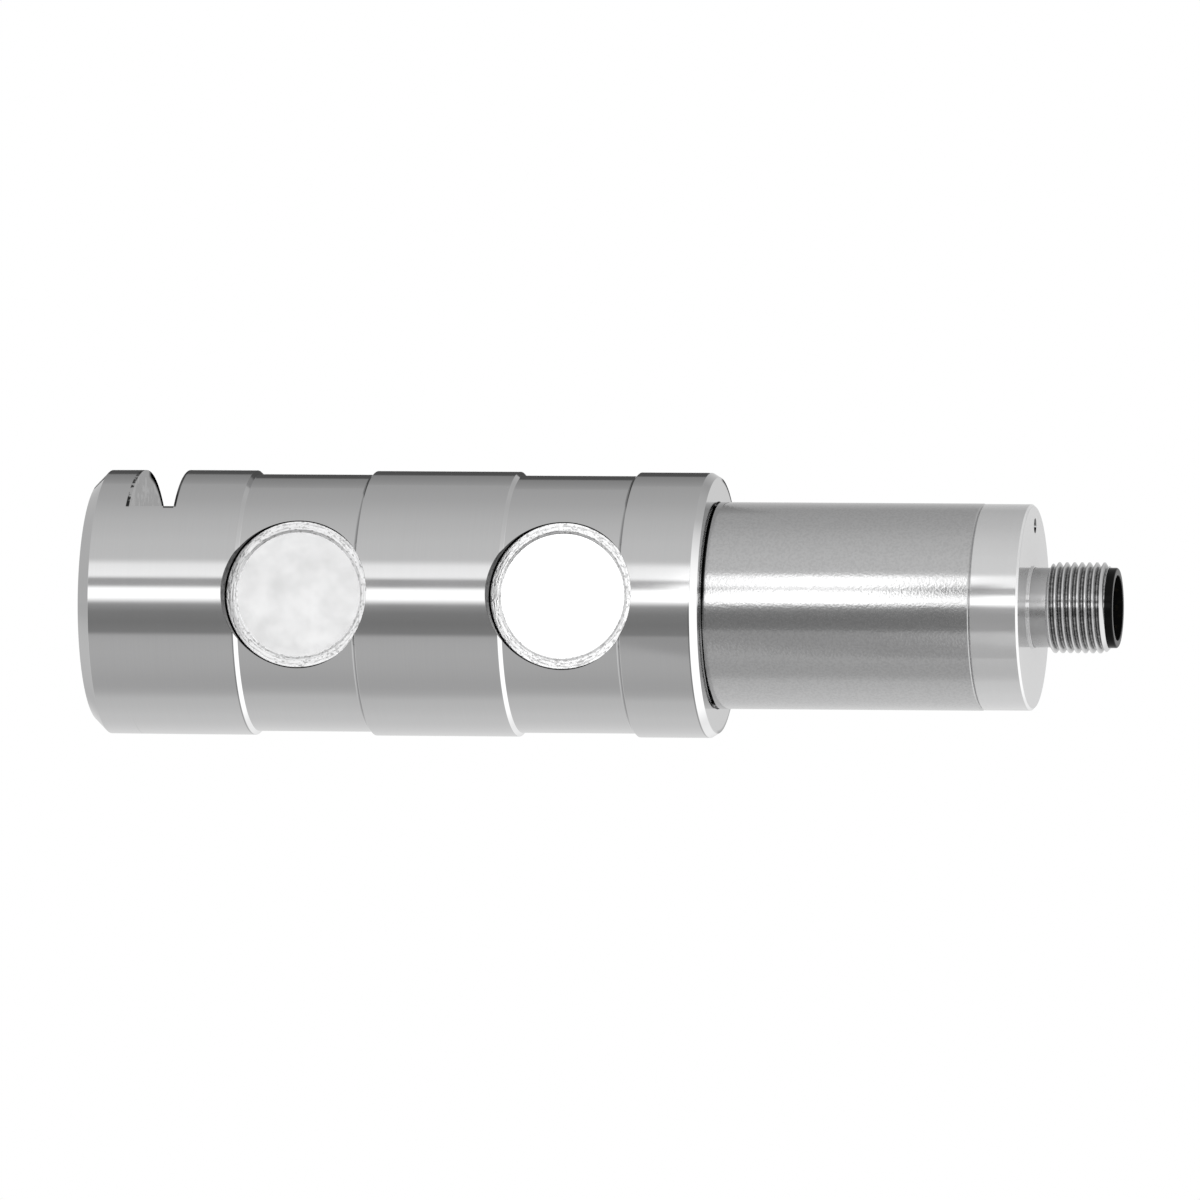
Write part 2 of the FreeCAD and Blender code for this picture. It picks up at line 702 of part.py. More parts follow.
# Rings that hold the board's ends, each with a slot across it
def make_board_rings():
    slot_floor = ring_gap
    for name, across, angle in (
        ("board_ring_left", spigot_end, 0),
        ("board_ring_right", cap_spigot_end, 180),
    ):
        body = turned_body(name, [
            ("0", ring_bore_radius),
            ("0", spigot_radius),
            ("Sizes.ring_width", spigot_radius),
            ("Sizes.ring_width", ring_bore_radius),
        ])
        sketch = new_sketch(body, name + "_slot_outline", "XY_Plane")
        reach = f"{board_half_width} + Sizes.board_play"
        draw_outline(sketch, [
            (slot_floor, f"-({reach})"),
            ("Sizes.ring_width", f"-({reach})"),
            ("Sizes.ring_width", reach),
            (slot_floor, reach),
        ])
        height = "Sizes.board_thickness + 2 * Sizes.board_play"
        cut_sketch(body, sketch, name + "_slot", length=height, symmetric=True)
        place(body, across, turn=FreeCAD.Rotation(FreeCAD.Vector(0, 0, 1), angle))


# Amplifier board and what is soldered to it
def make_amplifier():
    board_length = f"({board_right} - {board_left})"
    board = box("amplifier_board", board_length, f"2 * {board_half_width}",
                "Sizes.board_thickness", board_left, f"-{board_half_width}", f"-{half_board}")
    finished.append(board)

    strip_height = f"{contact_side} - Sizes.hookup_radius - {half_board}"
    strip_start = f"{board_right} - Sizes.strip_length"
    for name, up in (
        ("upper_solder_strip", half_board),
        ("lower_solder_strip", f"-{half_board} - ({strip_height})"),
    ):
        strip = box(name, "Sizes.strip_length", "2 * Sizes.strip_half_width",
                    strip_height, strip_start, "-Sizes.strip_half_width", up)
        finished.append(strip)

    chip_start = f"{board_left} + Sizes.chip_offset"
    leg_half = "(Sizes.chip_width / 2 + Sizes.chip_leg_reach)"
    package = box("chip_package", "Sizes.chip_length", "Sizes.chip_width",
                  "Sizes.chip_height", chip_start, "-Sizes.chip_width / 2", half_board)
    legs = box("chip_legs", "Sizes.chip_length", f"2 * {leg_half}",
               "Sizes.chip_leg_height", chip_start, f"-{leg_half}", half_board)
    fused("amplifier_chip", [package, legs])

    for name, side in (("zero_trimmer", "-1"), ("span_trimmer", "1")):
        start = f"{board_left} + Sizes.trimmer_offset"
        middle = f"{side} * ({board_half_width} - Sizes.trimmer_edge_inset)"
        block = box(name + "_block", "Sizes.trimmer_length", "Sizes.trimmer_width",
                    "Sizes.trimmer_height", start, f"{middle} - Sizes.trimmer_width / 2",
                    half_board)
        screw = document.addObject("Part::Cylinder", name + "_screw")
        bind(screw, Radius="Sizes.trimmer_screw_radius",
             Height="Sizes.trimmer_height + Sizes.trimmer_screw_height")
        place(screw, f"{start} + Sizes.trimmer_length / 2", middle, half_board)
        fused(name, [block, screw])

    for name, side in (("supply_capacitor", "-1"), ("output_capacitor", "1")):
        can = document.addObject("Part::Cylinder", name)
        bind(can, Radius="Sizes.capacitor_radius", Height="Sizes.capacitor_height")
        place(can, f"{board_left} + Sizes.capacitor_offset",
              f"{side} * Sizes.capacitor_spread",
              f"-{half_board} - Sizes.capacitor_height")
        finished.append(can)


make_pin_body()
make_covers()
make_gauges()
make_terminals()
make_gauge_leads()
make_housing_tube()
make_end_cap()
make_seals()
make_connector_shell()
make_lock_nut()
make_connector_insert()
make_contacts()
make_hookup_leads()
make_board_rings()
make_amplifier()
document.recompute()

for item in document.Objects:
    if "Invalid" in item.State or "Error" in item.State:
        raise ValueError(f"{item.Label} failed: {item.State}")

os.makedirs("parts", exist_ok=True)
for piece in finished:
    shape = piece.Shape
    if shape.isNull() or not shape.isValid() or not shape.Solids:
        raise ValueError(f"{piece.Label} is not a valid solid")
    shape.exportStep(f"parts/{piece.Label}.step")
    print(f"{piece.Label}: {shape.Volume:.2f} mm3, {len(shape.Solids)} solid")
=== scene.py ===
import json
import math

import bpy
import numpy as np
from mathutils import Matrix, Vector


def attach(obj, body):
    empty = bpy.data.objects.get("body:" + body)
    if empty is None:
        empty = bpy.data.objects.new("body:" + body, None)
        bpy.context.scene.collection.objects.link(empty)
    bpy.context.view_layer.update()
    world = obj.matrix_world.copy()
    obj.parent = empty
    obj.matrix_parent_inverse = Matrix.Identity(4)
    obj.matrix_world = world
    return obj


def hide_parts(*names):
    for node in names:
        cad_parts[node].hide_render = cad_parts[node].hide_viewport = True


# Looks of the shear pin load cell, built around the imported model.
# Lengths in the dictionaries are millimetres, angles are degrees.
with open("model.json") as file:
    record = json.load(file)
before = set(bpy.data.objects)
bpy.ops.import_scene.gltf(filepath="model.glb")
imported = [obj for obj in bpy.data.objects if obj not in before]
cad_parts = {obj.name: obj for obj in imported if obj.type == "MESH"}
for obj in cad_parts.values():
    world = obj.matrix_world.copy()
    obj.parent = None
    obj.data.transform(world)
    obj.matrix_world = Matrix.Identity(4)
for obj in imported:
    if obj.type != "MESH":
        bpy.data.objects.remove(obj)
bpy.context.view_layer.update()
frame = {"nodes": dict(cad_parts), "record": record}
nodes = frame["nodes"]
mm = 0.001
tiny = 1e-12  # stands in for nothing where a number is divided by
print("frame loaded,", len(nodes), "nodes")


# Corners are (place along the axis, radius, fillet). Each corner becomes an arc tangent to
# both of its lines: centre plus fillet times the normal, turned from one line's to the next's.
# The outward normal lies to the left of the way the profile runs. Turns under the straight
# angle get no arc, and an arc takes up to the most share of the shorter line.
def roundedProfile(corners, arcSteps=4, loop=False, leastFillet=0.004, straight=1e-4, most=0.45):
    places = np.array([corner[:2] for corner in corners], float)
    fillets = [corner[2] if len(corner) > 2 else 0.0 for corner in corners]
    count = len(places)
    points, normals = [], []
    for index in range(count):
        atEnd = not loop and index in (0, count - 1)
        before = places[index] - places[index - 1] if index or loop else None
        after = places[(index + 1) % count] - places[index] if index < count - 1 or loop else None
        if atEnd:
            run = after if before is None else before
            run = run / np.linalg.norm(run)
            points.append(places[index])
            normals.append([-run[1], run[0]])
            continue
        lengthIn, lengthOut = np.linalg.norm(before), np.linalg.norm(after)
        runIn, runOut = before / lengthIn, after / lengthOut
        normalIn = np.array([-runIn[1], runIn[0]])
        cross = runIn[0] * runOut[1] - runIn[1] * runOut[0]
        turn = math.atan2(cross, float(runIn @ runOut))
        if abs(turn) < straight:
            points.append(places[index])
            normals.append(normalIn)
            continue
        bend = math.tan(abs(turn) / 2)
        reach = min(max(fillets[index], leastFillet) * bend, most * min(lengthIn, lengthOut))
        radius = reach / bend
        side = -1.0 if turn > 0 else 1.0
        start = places[index] - runIn * reach
        centre = start - side * radius * normalIn
        for share in np.linspace(0, 1, arcSteps + 1):
            angle = turn * share
            c, s = math.cos(angle), math.sin(angle)
            normal = np.array([c * normalIn[0] - s * normalIn[1], s * normalIn[0] + c * normalIn[1]])
            points.append(centre + side * radius * normal)
            normals.append(normal)
    return np.array(points), np.array(normals)


# Long straight runs get extra points, so that no face is a thin sliver round the part
def divided(profile, longest):
    points, normals = profile
    outPoints, outNormals = [], []
    for a, b, na, nb in zip(points[:-1], points[1:], normals[:-1], normals[1:]):
        steps = max(1, int(math.ceil(np.linalg.norm(b - a) / longest)))
        share = np.arange(steps)[:, None] / steps
        outPoints.append(a + (b - a) * share)
        outNormals.append(na + (nb - na) * share)
    outPoints.append(points[-1:])
    outNormals.append(normals[-1:])
    return np.concatenate(outPoints), np.concatenate(outNormals)


def evenAngles(columns):
    return np.arange(columns) * (2 * math.pi / columns)


# Grid of rows along and columns around: (along, radius cos a, radius sin a). The place along
# and the radius are one number a row, or one a row and column.
def gridPoints(along, radius, angles):
    return np.stack(np.broadcast_arrays(along, radius * np.cos(angles), radius * np.sin(angles)), axis=-1)


# Outward normal of a grid that closes round its columns: the cross product of its two slopes
def slopeNormals(grid):
    alongSlope = np.gradient(grid, axis=0)
    aroundSlope = np.roll(grid, -1, axis=1) - np.roll(grid, 1, axis=1)
    normal = np.cross(aroundSlope, alongSlope)
    size = np.linalg.norm(normal, axis=-1, keepdims=True)
    return normal / np.maximum(size, tiny)


# Mesh or camera data becomes an object of the scene
def linked(name, data):
    piece = bpy.data.objects.new(name, data)
    bpy.context.scene.collection.objects.link(piece)
    return piece


# A grid that closes round its columns becomes a mesh; a row of radius 0 becomes one pole.
# Each mark is a number per grid point that a material reads by its name.
def meshFromGrid(name, grid, normals, poleStart=False, poleEnd=False, loop=False, marks=None):
    rows, columns = grid.shape[:2]
    kept = slice(1 if poleStart else 0, rows - 1 if poleEnd else rows)
    count = len(grid[kept])
    points = grid[kept].reshape(-1, 3)
    pointNormals = normals[kept].reshape(-1, 3)
    j = np.arange(columns)
    k = (j + 1) % columns
    i = np.arange(count if loop else count - 1)[:, None]
    n = (i + 1) % count
    quads = np.stack([i * columns + j, i * columns + k, n * columns + k, n * columns + j], axis=-1)
    faces = quads.reshape(-1, 4).tolist()
    last = (count - 1) * columns
    for present, row, first, second in ((poleStart, 0, k, j), (poleEnd, -1, last + j, last + k)):
        if present:
            points = np.concatenate([points, grid[row, :1]])
            pointNormals = np.concatenate([pointNormals, normals[row, :1]])
            faces += np.stack([np.full(columns, len(points) - 1), first, second], axis=-1).tolist()
    mesh = bpy.data.meshes.new(name)
    mesh.from_pydata((points * mm).tolist(), [], faces)
    mesh.polygons.foreach_set("use_smooth", np.ones(len(mesh.polygons), bool))
    mesh.normals_split_custom_set_from_vertices(pointNormals.tolist())
    for mark, values in (marks or {}).items():
        poles = ([values[0, :1]] if poleStart else []) + ([values[-1, :1]] if poleEnd else [])
        flat = np.concatenate([values[kept].ravel()] + poles)
        mesh.attributes.new(mark, "FLOAT", "POINT").data.foreach_set("value", flat.astype(np.float32))
    mesh.update()
    return linked(name, mesh)


# Turns a profile about the X axis, then carries the result by a rotation and an offset
def turned(name, profile, columns, loop=False, carry=None, offset=(0, 0, 0)):
    points, normals = profile
    angles = evenAngles(columns)
    grid = gridPoints(points[:, :1], points[:, 1:2], angles)
    tilt = gridPoints(normals[:, :1], normals[:, 1:2], angles)
    if carry is not None:
        grid, tilt = grid @ carry.T, tilt @ carry.T
    grid = grid + np.array(offset, float)
    poleStart, poleEnd = (not loop and radius < tiny for radius in (points[0, 1], points[-1, 1]))
    return meshFromGrid(name, grid, tilt, poleStart, poleEnd, loop)


alongMinusY = np.array([[0, 1, 0], [-1, 0, 0], [0, 0, 1]], float)
alongPlusY = np.array([[0, -1, 0], [1, 0, 0], [0, 0, 1]], float)


# One field of all items as an array, with a row for each item where it has several numbers
def readField(items, field, kind=int, width=1):
    values = np.zeros(len(items) * width, kind)
    items.foreach_get(field, values)
    return values.reshape(-1, width) if width > 1 else values


# Cuts turned pieces and boxes out of a turned piece, then gives each face the exact normal
# of the surface that it came from: nearest point on that surface's profile, or flat
def carve(piece, surface, cutters):
    sources = {}
    for index, (cutter, cutterSurface) in enumerate(cutters):
        mark = bpy.data.materials.new(f"mark{index}")
        sources[mark.name] = cutterSurface
        cutter.data.materials.append(mark)
        step = piece.modifiers.new(f"cut{index}", "BOOLEAN")
        step.operation, step.solver = "DIFFERENCE", "EXACT"
        step.material_mode = "TRANSFER"
        step.object = cutter
    base = bpy.data.materials.new("markBase")
    sources[base.name] = surface
    piece.data.materials.append(base)
    cut = bpy.data.meshes.new_from_object(piece.evaluated_get(bpy.context.evaluated_depsgraph_get()))
    piece.modifiers.clear()
    cut.name = piece.name
    slots = [material.name for material in cut.materials]
    corners = readField(cut.loops, "vertex_index")
    places = readField(cut.vertices, "co", float, 3)[corners] / mm
    starts = readField(cut.polygons, "loop_start")
    totals = readField(cut.polygons, "loop_total")
    kinds = readField(cut.polygons, "material_index")
    flats = readField(cut.polygons, "normal", float, 3)
    order = np.argsort(starts)
    faceOfCorner = np.repeat(order, totals[order])
    normals = flats[faceOfCorner]
    for number, name in enumerate(slots):
        chosen = kinds[faceOfCorner] == number
        if sources[name] is None or not chosen.any():
            continue
        normals[chosen] = profileNormals(places[chosen], normals[chosen], *sources[name])
    cut.polygons.foreach_set("use_smooth", np.ones(len(cut.polygons), bool))
    cut.polygons.foreach_set("material_index", np.zeros(len(cut.polygons), int))
    cut.materials.clear()
    cut.normals_split_custom_set(normals.tolist())
    cut.update()
    piece.data = cut
    for cutter, _ in cutters:
        bpy.data.objects.remove(cutter)
    for name in sources:
        bpy.data.materials.remove(bpy.data.materials[name])


# The nearest point on the profile's lines mixes the normals of that line's ends; a face that
# leans far away from the result keeps its own flat normal
def profileNormals(places, flats, profile, carry, offset, side, agreement=0.8):
    local = (places - np.array(offset, float)) @ carry
    spread = np.hypot(local[:, 1], local[:, 2])
    flat = np.stack([local[:, 0], spread], axis=-1)
    points, normals = profile
    low, run = points[:-1], points[1:] - points[:-1]
    size = np.maximum((run ** 2).sum(1), tiny)
    share = np.clip(((flat[:, None] - low[None]) * run[None]).sum(-1) / size, 0, 1)
    gap = np.linalg.norm(low[None] + run[None] * share[..., None] - flat[:, None], axis=-1)
    best = gap.argmin(1)
    part = share[np.arange(len(flat)), best][:, None]
    tilt = normals[best] * (1 - part) + normals[best + 1] * part
    spread = np.maximum(spread, tiny)
    found = np.stack([tilt[:, 0], tilt[:, 1] * local[:, 1] / spread,
                      tilt[:, 1] * local[:, 2] / spread], axis=-1) @ carry.T * side
    found /= np.maximum(np.linalg.norm(found, axis=1, keepdims=True), tiny)
    agrees = (found * flats).sum(1) > agreement
    return np.where(agrees[:, None], found, flats)


# A plain block from its lowest and highest corner, used to cut with
def block(name, low, high):
    corners = np.array([[x, y, z] for x in (low[0], high[0]) for y in (low[1], high[1])
                        for z in (low[2], high[2])])
    faces = [(0, 1, 3, 2), (4, 6, 7, 5), (0, 4, 5, 1), (2, 3, 7, 6), (0, 2, 6, 4), (1, 5, 7, 3)]
    mesh = bpy.data.meshes.new(name)
    mesh.from_pydata((corners * mm).tolist(), [], faces)
    return linked(name, mesh)


# A piece gets its finish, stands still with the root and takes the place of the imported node
def finishPiece(piece, slot, replaced, material=None):
    piece.data.materials.clear()
    piece.data.materials.append(material or finishes[slot])
    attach(piece, "root")
    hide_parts(replaced)
    print(piece.name, len(piece.data.polygons), "faces")


class Finish:
    # A node material: one shader, with noise in stretched Object coordinates for its detail
    def __init__(self, name):
        self.material = bpy.data.materials.new(name)
        self.material.use_nodes = True
        self.tree = self.material.node_tree
        self.tree.nodes.clear()
        self.shader = self.add("ShaderNodeBsdfPrincipled")
        self.surface = self.add("ShaderNodeOutputMaterial").inputs["Surface"]
        self.join(self.shader.outputs[0], self.surface)
        self.coordinates = self.add("ShaderNodeTexCoord").outputs["Object"]
        self.colour = None

    def add(self, kind, **values):
        node = self.tree.nodes.new(kind)
        for field, value in values.items():
            if field in node.inputs:
                node.inputs[field].default_value = value
            else:
                setattr(node, field, value)
        return node

    def join(self, output, socket):
        self.tree.links.new(output, socket)

    def set(self, **values):
        for field, value in values.items():
            self.shader.inputs[field.replace("_", " ")].default_value = value

    # A number goes into the socket itself, a node's output is joined to it
    def feed(self, socket, value):
        if isinstance(value, (int, float)):
            socket.default_value = value
        else:
            self.join(value, socket)

    def calc(self, kind, *values):
        node = self.add("ShaderNodeMath", operation=kind)
        for socket, value in zip(node.inputs, values):
            self.feed(socket, value)
        return node.outputs[0]

    def noise(self, scale, detail=3.0, roughness=0.6, stretch=(1, 1, 1)):
        mapping = self.add("ShaderNodeMapping", Scale=stretch)
        self.join(self.coordinates, mapping.inputs["Vector"])
        texture = self.add("ShaderNodeTexNoise", Scale=scale, Detail=detail, Roughness=roughness)
        self.join(mapping.outputs[0], texture.inputs["Vector"])
        return texture.outputs["Fac"]

    def mark(self, name):
        return self.add("ShaderNodeAttribute", attribute_name=name).outputs["Fac"]

    # The place along each axis, in millimetres
    def places(self):
        parts = self.add("ShaderNodeSeparateXYZ")
        self.join(self.coordinates, parts.inputs[0])
        return [self.calc("MULTIPLY", output, 1 / mm) for output in parts.outputs]

    # 0 before the first place, 1 past the second; least is the value before the first
    def rise(self, value, start, end, least=0):
        return self.spread(value, least, 1, start, end)

    # The square root of the sum of both squares
    def distance(self, first, second):
        squares = [self.calc("POWER", value, 2.0) for value in (first, second)]
        return self.calc("SQRT", self.calc("ADD", *squares))

    # The product of all masks: 1 only where each of them is 1
    def times(self, first, *others):
        for other in others:
            first = self.calc("MULTIPLY", first, other)
        return first

    # 1 between two places, 0 outside them, with a soft edge
    def window(self, value, low, high, soft=0.04):
        fall = self.spread(value, 1, 0, high - soft, high + soft)
        return self.times(self.rise(value, low - soft, low + soft), fall)

    # From low to high while the value goes from start to end, and level beyond them
    def spread(self, value, low, high, start=0.3, end=0.7, kind="LINEAR"):
        node = self.add("ShaderNodeMapRange", interpolation_type=kind)
        ends = {"Value": value, "To Min": low, "To Max": high, "From Min": start, "From Max": end}
        for socket, number in ends.items():
            self.feed(node.inputs[socket], number)
        return node.outputs[0]

    # Roughness from the low to the high end of a range by a noise, with more added where given
    def rough(self, cloud, ends, more=None):
        value = self.spread(cloud, *ends)
        if more is not None:
            value = self.calc("ADD", value, more)
        self.join(value, self.shader.inputs["Roughness"])

    def bump(self, height, strength, distance, under=None):
        node = self.add("ShaderNodeBump", Strength=strength, Distance=distance)
        self.join(height, node.inputs["Height"])
        if under is not None:
            self.join(under, node.inputs["Normal"])
        self.join(node.outputs[0], self.shader.inputs["Normal"])
        return node.outputs[0]

    # A level along a share from 0 to 1, in up to 32 stops; most is the highest that they can hold
    def ramp(self, share, stops, most=3.0):
        ramp = self.add("ShaderNodeValToRGB")
        elements = ramp.color_ramp.elements
        for number, (place, level) in enumerate(stops):
            stop = elements[number] if number < 2 else elements.new(place)
            stop.position = place
            stop.color = (level / most, level / most, level / most, 1)
        self.join(share, ramp.inputs[0])
        return self.calc("MULTIPLY", ramp.outputs["Color"], most)

    # The surface only gives light, at the given level
    def glow(self, level):
        emission = self.add("ShaderNodeEmission")
        self.join(level, emission.inputs["Strength"])
        self.join(emission.outputs[0], self.surface)
        self.tree.nodes.remove(self.shader)
        self.material.cycles.emission_sampling = "NONE"

    # Painted shade on what a metal shows edge-on: a share of its usual brightness where the mask is 1
    def paintedEdgeShade(self, masks):
        level = None
        for mask, share in masks:
            part = self.calc("SUBTRACT", 1.0, self.calc("MULTIPLY", mask, 1.0 - share))
            level = part if level is None else self.calc("MULTIPLY", level, part)
        self.join(level, self.shader.inputs["Specular Tint"])

    # Colour from dark to light by a value; without dark, it goes from the colour so far to light
    def tint(self, value, dark, light):
        mix = self.add("ShaderNodeMix", data_type="RGBA")
        colours = [socket for socket in mix.inputs if socket.type == "RGBA"]
        if dark is None:
            self.join(self.colour, colours[0])
        else:
            colours[0].default_value = (*grey(dark), 1)
        colours[1].default_value = (*grey(light), 1)
        self.join(value, mix.inputs["Factor"])
        self.colour = [socket for socket in mix.outputs if socket.type == "RGBA"][0]
        self.join(self.colour, self.shader.inputs["Base Color"])

    # The colour goes to a tone where all masks are 1
    def paint(self, tone, *masks):
        self.tint(self.times(*masks), None, tone)


# A tone is a colour, or the level of a grey that is slightly cool
def grey(tone, coolness=1.004):
    return tone if isinstance(tone, tuple) else (tone, tone, tone * coolness)


# Start of a turned metal: stretched noise draws lines round it, in tone and in height, and
# cloudy noise varies its roughness
def turnedMetal(name, look):
    finish = Finish(name)
    finish.set(Metallic=look.get("metallic", 1.0))
    lines = finish.noise(1.0, *look["lines"])
    finish.rough(finish.noise(*look["cloud"]), look["roughness"])
    finish.tint(lines, look["dark"], look["light"])
    under = finish.bump(lines, look["lineStrength"], look["lineHeight"] * mm)
    return finish, under


# Tones are base colours, lengths are millimetres, and a fade is a pair of heights or places
groundLook = dict(
    dark=0.6048, light=0.63, roughness=(0.07, 0.11), cloud=(60, 4),
    lines=(2, 0.5, (9000, 90, 90)), lineStrength=0.12, lineHeight=0.0006,
    skinFade=(16.7, 16.9), behindFade=(0, 2), hair=0.02,
    highlightPaintTone=0.98, highlightPaintInset=0.03, highlightPaintFade=(3, 12),
    rampShadeTone=0.36, rampFrom=0.6, rampTo=0.1,
    boreShadeTone=0.15, boreEdgeShade=0.45,
    gapShadeTone=0.02, gapSoft=0.05, gapLeast=0.12, gapFade=(-4, 0),
    slotShadeTone=0.03, slotLeftLine=0.45, slotRightLine=0.3, slotSoft=0.15, wallEdgeShade=0.68,
    brokenGrain=700, brokenFade=(0.42, 0.5),
    wholeGrain=300, wholeFade=(0.3, 0.5), wholeLeast=0.55,
    farOuter=0.5, farInner=1.1, footShadeTone=0.1, footLength=1.4, footDepth=0.25,
    faceShadeTone=0.04, faceOuter=0.1, faceInner=0.5, faceLeast=0.3, faceFade=(-5, 0),
    outlineShadeTone=0.36, outlineStart=0.17, outlineEnd=0.03,
)


# Ground steel: fine lines round the pin. Masks by place paint highlights on the ramps that face right and
# paint shade on those that face left, and paint shade as lines at the slot, the pockets and the shoulder.
def groundSteel():
    look, p = groundLook, pin
    hair = look["hair"]
    finish = turnedMetal("groundSteel", look)[0]
    across, depth, height = finish.places()
    reach = finish.distance(depth, height)
    outside = finish.rise(reach, *look["skinFade"])
    behind = finish.rise(depth, *look["behindFade"])

    # Painted highlights on the ramps that face right and on the shoulder's chamfer, fading out towards the
    # top
    chamferStart = p["shoulder"] - p["chamferLength"]
    inner, outer, ramp = p["grooveInner"], p["grooveOuter"], p["grooveRamp"]
    lower = finish.spread(height, 1, 0, *look["highlightPaintFade"])
    for start, length in ((-outer, ramp), (inner, ramp), (chamferStart, p["chamferLength"])):
        bright = finish.window(across, start + look["highlightPaintInset"], start + length, hair)
        finish.paint(look["highlightPaintTone"], bright, outside, lower)
    # Painted shade on the ramps that face left
    for edge in (-inner, outer):
        dark = finish.window(across, edge - look["rampFrom"] * ramp, edge - look["rampTo"] * ramp)
        finish.paint(look["rampShadeTone"], dark, outside)

    # Painted shade on the pocket walls, and a painted shadow in the gap behind the shoulder
    toAxis = finish.calc("SUBTRACT", finish.calc("ABSOLUTE", across), p["pocketPlace"])
    bore = finish.window(finish.distance(toAxis, height),
                         p["pocketRadius"] - hair, p["pocketRadius"] + hair, hair / 2)
    finish.paint(look["boreShadeTone"], bore)
    # Painted shadow in the gap behind the shoulder, strongest towards the top
    gap = finish.times(
        finish.rise(across, p["reliefFloor"] - 2 * look["gapSoft"], p["reliefFloor"] - look["gapSoft"]),
        finish.spread(reach, 1, 0, p["reliefRadius"], p["reliefRadius"] + look["gapSoft"]),
        finish.rise(height, *look["gapFade"], look["gapLeast"]))
    finish.paint(look["gapShadeTone"], gap)

    # Slot: painted shade as a broken dark line on its left edge, a whole one on its right, one on the far
    # edge, and painted shade in the corner at the foot
    left, right, ground = p["slotLeft"], p["slotRight"], p["slotFloor"]
    broken = finish.rise(finish.noise(look["brokenGrain"], 2, 0.5), *look["brokenFade"])
    whole = finish.rise(finish.noise(look["wholeGrain"], 2, 0.5), *look["wholeFade"], look["wholeLeast"])
    above = finish.rise(height, ground - look["slotSoft"], ground)
    for low, high, breakup in (
        (left - look["slotLeftLine"], left - hair, broken),
        (right - hair, right + look["slotRightLine"], whole),
    ):
        finish.paint(look["slotShadeTone"], finish.window(across, low, high), above, breakup)
    wall = finish.window(across, left - hair, left + hair, hair / 2)
    rim = finish.rise(reach, p["radius"] - look["farInner"], p["radius"] - look["farOuter"])
    far = finish.times(wall, rim, behind, above)
    finish.paint(look["slotShadeTone"], far)
    foot = finish.times(finish.window(across, right - look["footLength"], right),
                        finish.window(height, ground - look["footDepth"], ground + hair))
    finish.paint(look["footShadeTone"], foot)

    # Painted shade on the outer edge of the shoulder's face, and as lines before the groove and the
    # chamfer
    shoulderRadius = p["radius"] - p["chamferDrop"]
    face = finish.times(
        finish.rise(across, p["shoulder"] - 1.5 * hair, p["shoulder"] - hair / 2),
        finish.rise(reach, shoulderRadius - look["faceInner"], shoulderRadius - look["faceOuter"]),
        behind, finish.rise(height, *look["faceFade"], look["faceLeast"]))
    finish.paint(look["faceShadeTone"], face)
    # Painted shade: dark lines before the groove and the chamfer, fading out towards the top
    for edge in (-outer, chamferStart):
        near = edge - look["outlineEnd"]
        line = finish.window(across, edge - look["outlineStart"], near, look["outlineEnd"])
        faded = finish.spread(height, 1, 0, *look["gapFade"])
        finish.paint(look["outlineShadeTone"], line, faded, outside)
    # Painted shade also dims the edge-on reflection of the pocket walls, the slot's left wall, its far
    # edge and the shoulder's face
    finish.paintedEdgeShade([(bore, look["boreEdgeShade"]), (wall, look["wallEdgeShade"]), (far, 0.0), (face, 0.0)])
    return finish.material


turnedLook = dict(
    dark=0.57, light=0.6, roughness=(0.1, 0.15), cloud=(150,),
    lines=(2, 0.6, (6000, 200, 200)), lineStrength=0.2, lineHeight=0.001,
    grain=3000, grainHeight=0.008, grainTone=0.3, grainMost=0.2, grainFade=(0.4, 0.65),
    rootShadeTone=0.02, rootInner=0.12, rootOuter=0.08, rootLeast=0.12, rootFade=(-4, 0),
)


# Turned steel: a satin skin whose fine grain breaks up a sharp reflection and speckles the tone, with
# painted shade on the neck behind the pin's shoulder
def turnedSteel():
    look, h = turnedLook, housing
    finish, under = turnedMetal("turnedSteel", look)
    grain = finish.noise(look["grain"], 1)
    finish.paint(look["grainTone"], finish.spread(grain, 0, look["grainMost"], *look["grainFade"]))
    across, _, height = finish.places()
    # Painted shade on the neck behind the pin's shoulder, weaker towards the bottom
    root = finish.spread(across, 1, 0, h["rootEnd"] - look["rootInner"], h["rootEnd"] - look["rootOuter"])
    faded = finish.rise(height, *look["rootFade"], look["rootLeast"])
    finish.paint(look["rootShadeTone"], root, faded)
    finish.bump(grain, 1.0, look["grainHeight"] * mm, under)
    return finish.material


capLook = dict(
    metallic=0.75, dark=0.72, light=0.76, roughness=(0.06, 0.1), cloud=(90,),
    lines=(2, 0.5, (7000, 80, 80)), lineStrength=0.1, lineHeight=0.0006,
    chamferHighlightTone=0.98, hair=0.02, dimpleShadeTone=0.02, dimpleSpan=1.1, dimpleTop=0.1,
    dimpleInner=0.05, dimpleDeep=1.0, dimpleSoft=0.1,
)


# Cap steel: bright and finely turned, with a painted highlight on the chamfer and painted shade in the
# dimple's lower half
def capSteel():
    look, h = capLook, housing
    hair, face = look["hair"], h["capFace"]
    finish = turnedMetal("capSteel", look)[0]
    across, depth, height = finish.places()
    # Painted highlight on the chamfer
    chamfer = finish.window(across, face - h["capChamfer"], face - 1.5 * hair, hair)
    finish.paint(look["chamferHighlightTone"], chamfer)
    # Painted shade in the lower half of the dimple
    span = look["dimpleSpan"]
    inside = finish.times(
        finish.spread(across, 1, 0, face - look["dimpleInner"], face - hair),
        finish.rise(across, face - look["dimpleDeep"], face - look["dimpleDeep"] + look["dimpleSoft"]),
        finish.window(height, h["dimpleCircle"] - span, h["dimpleCircle"] - look["dimpleTop"]),
        finish.window(depth, -span, span))
    finish.paint(look["dimpleShadeTone"], inside)
    return finish.material


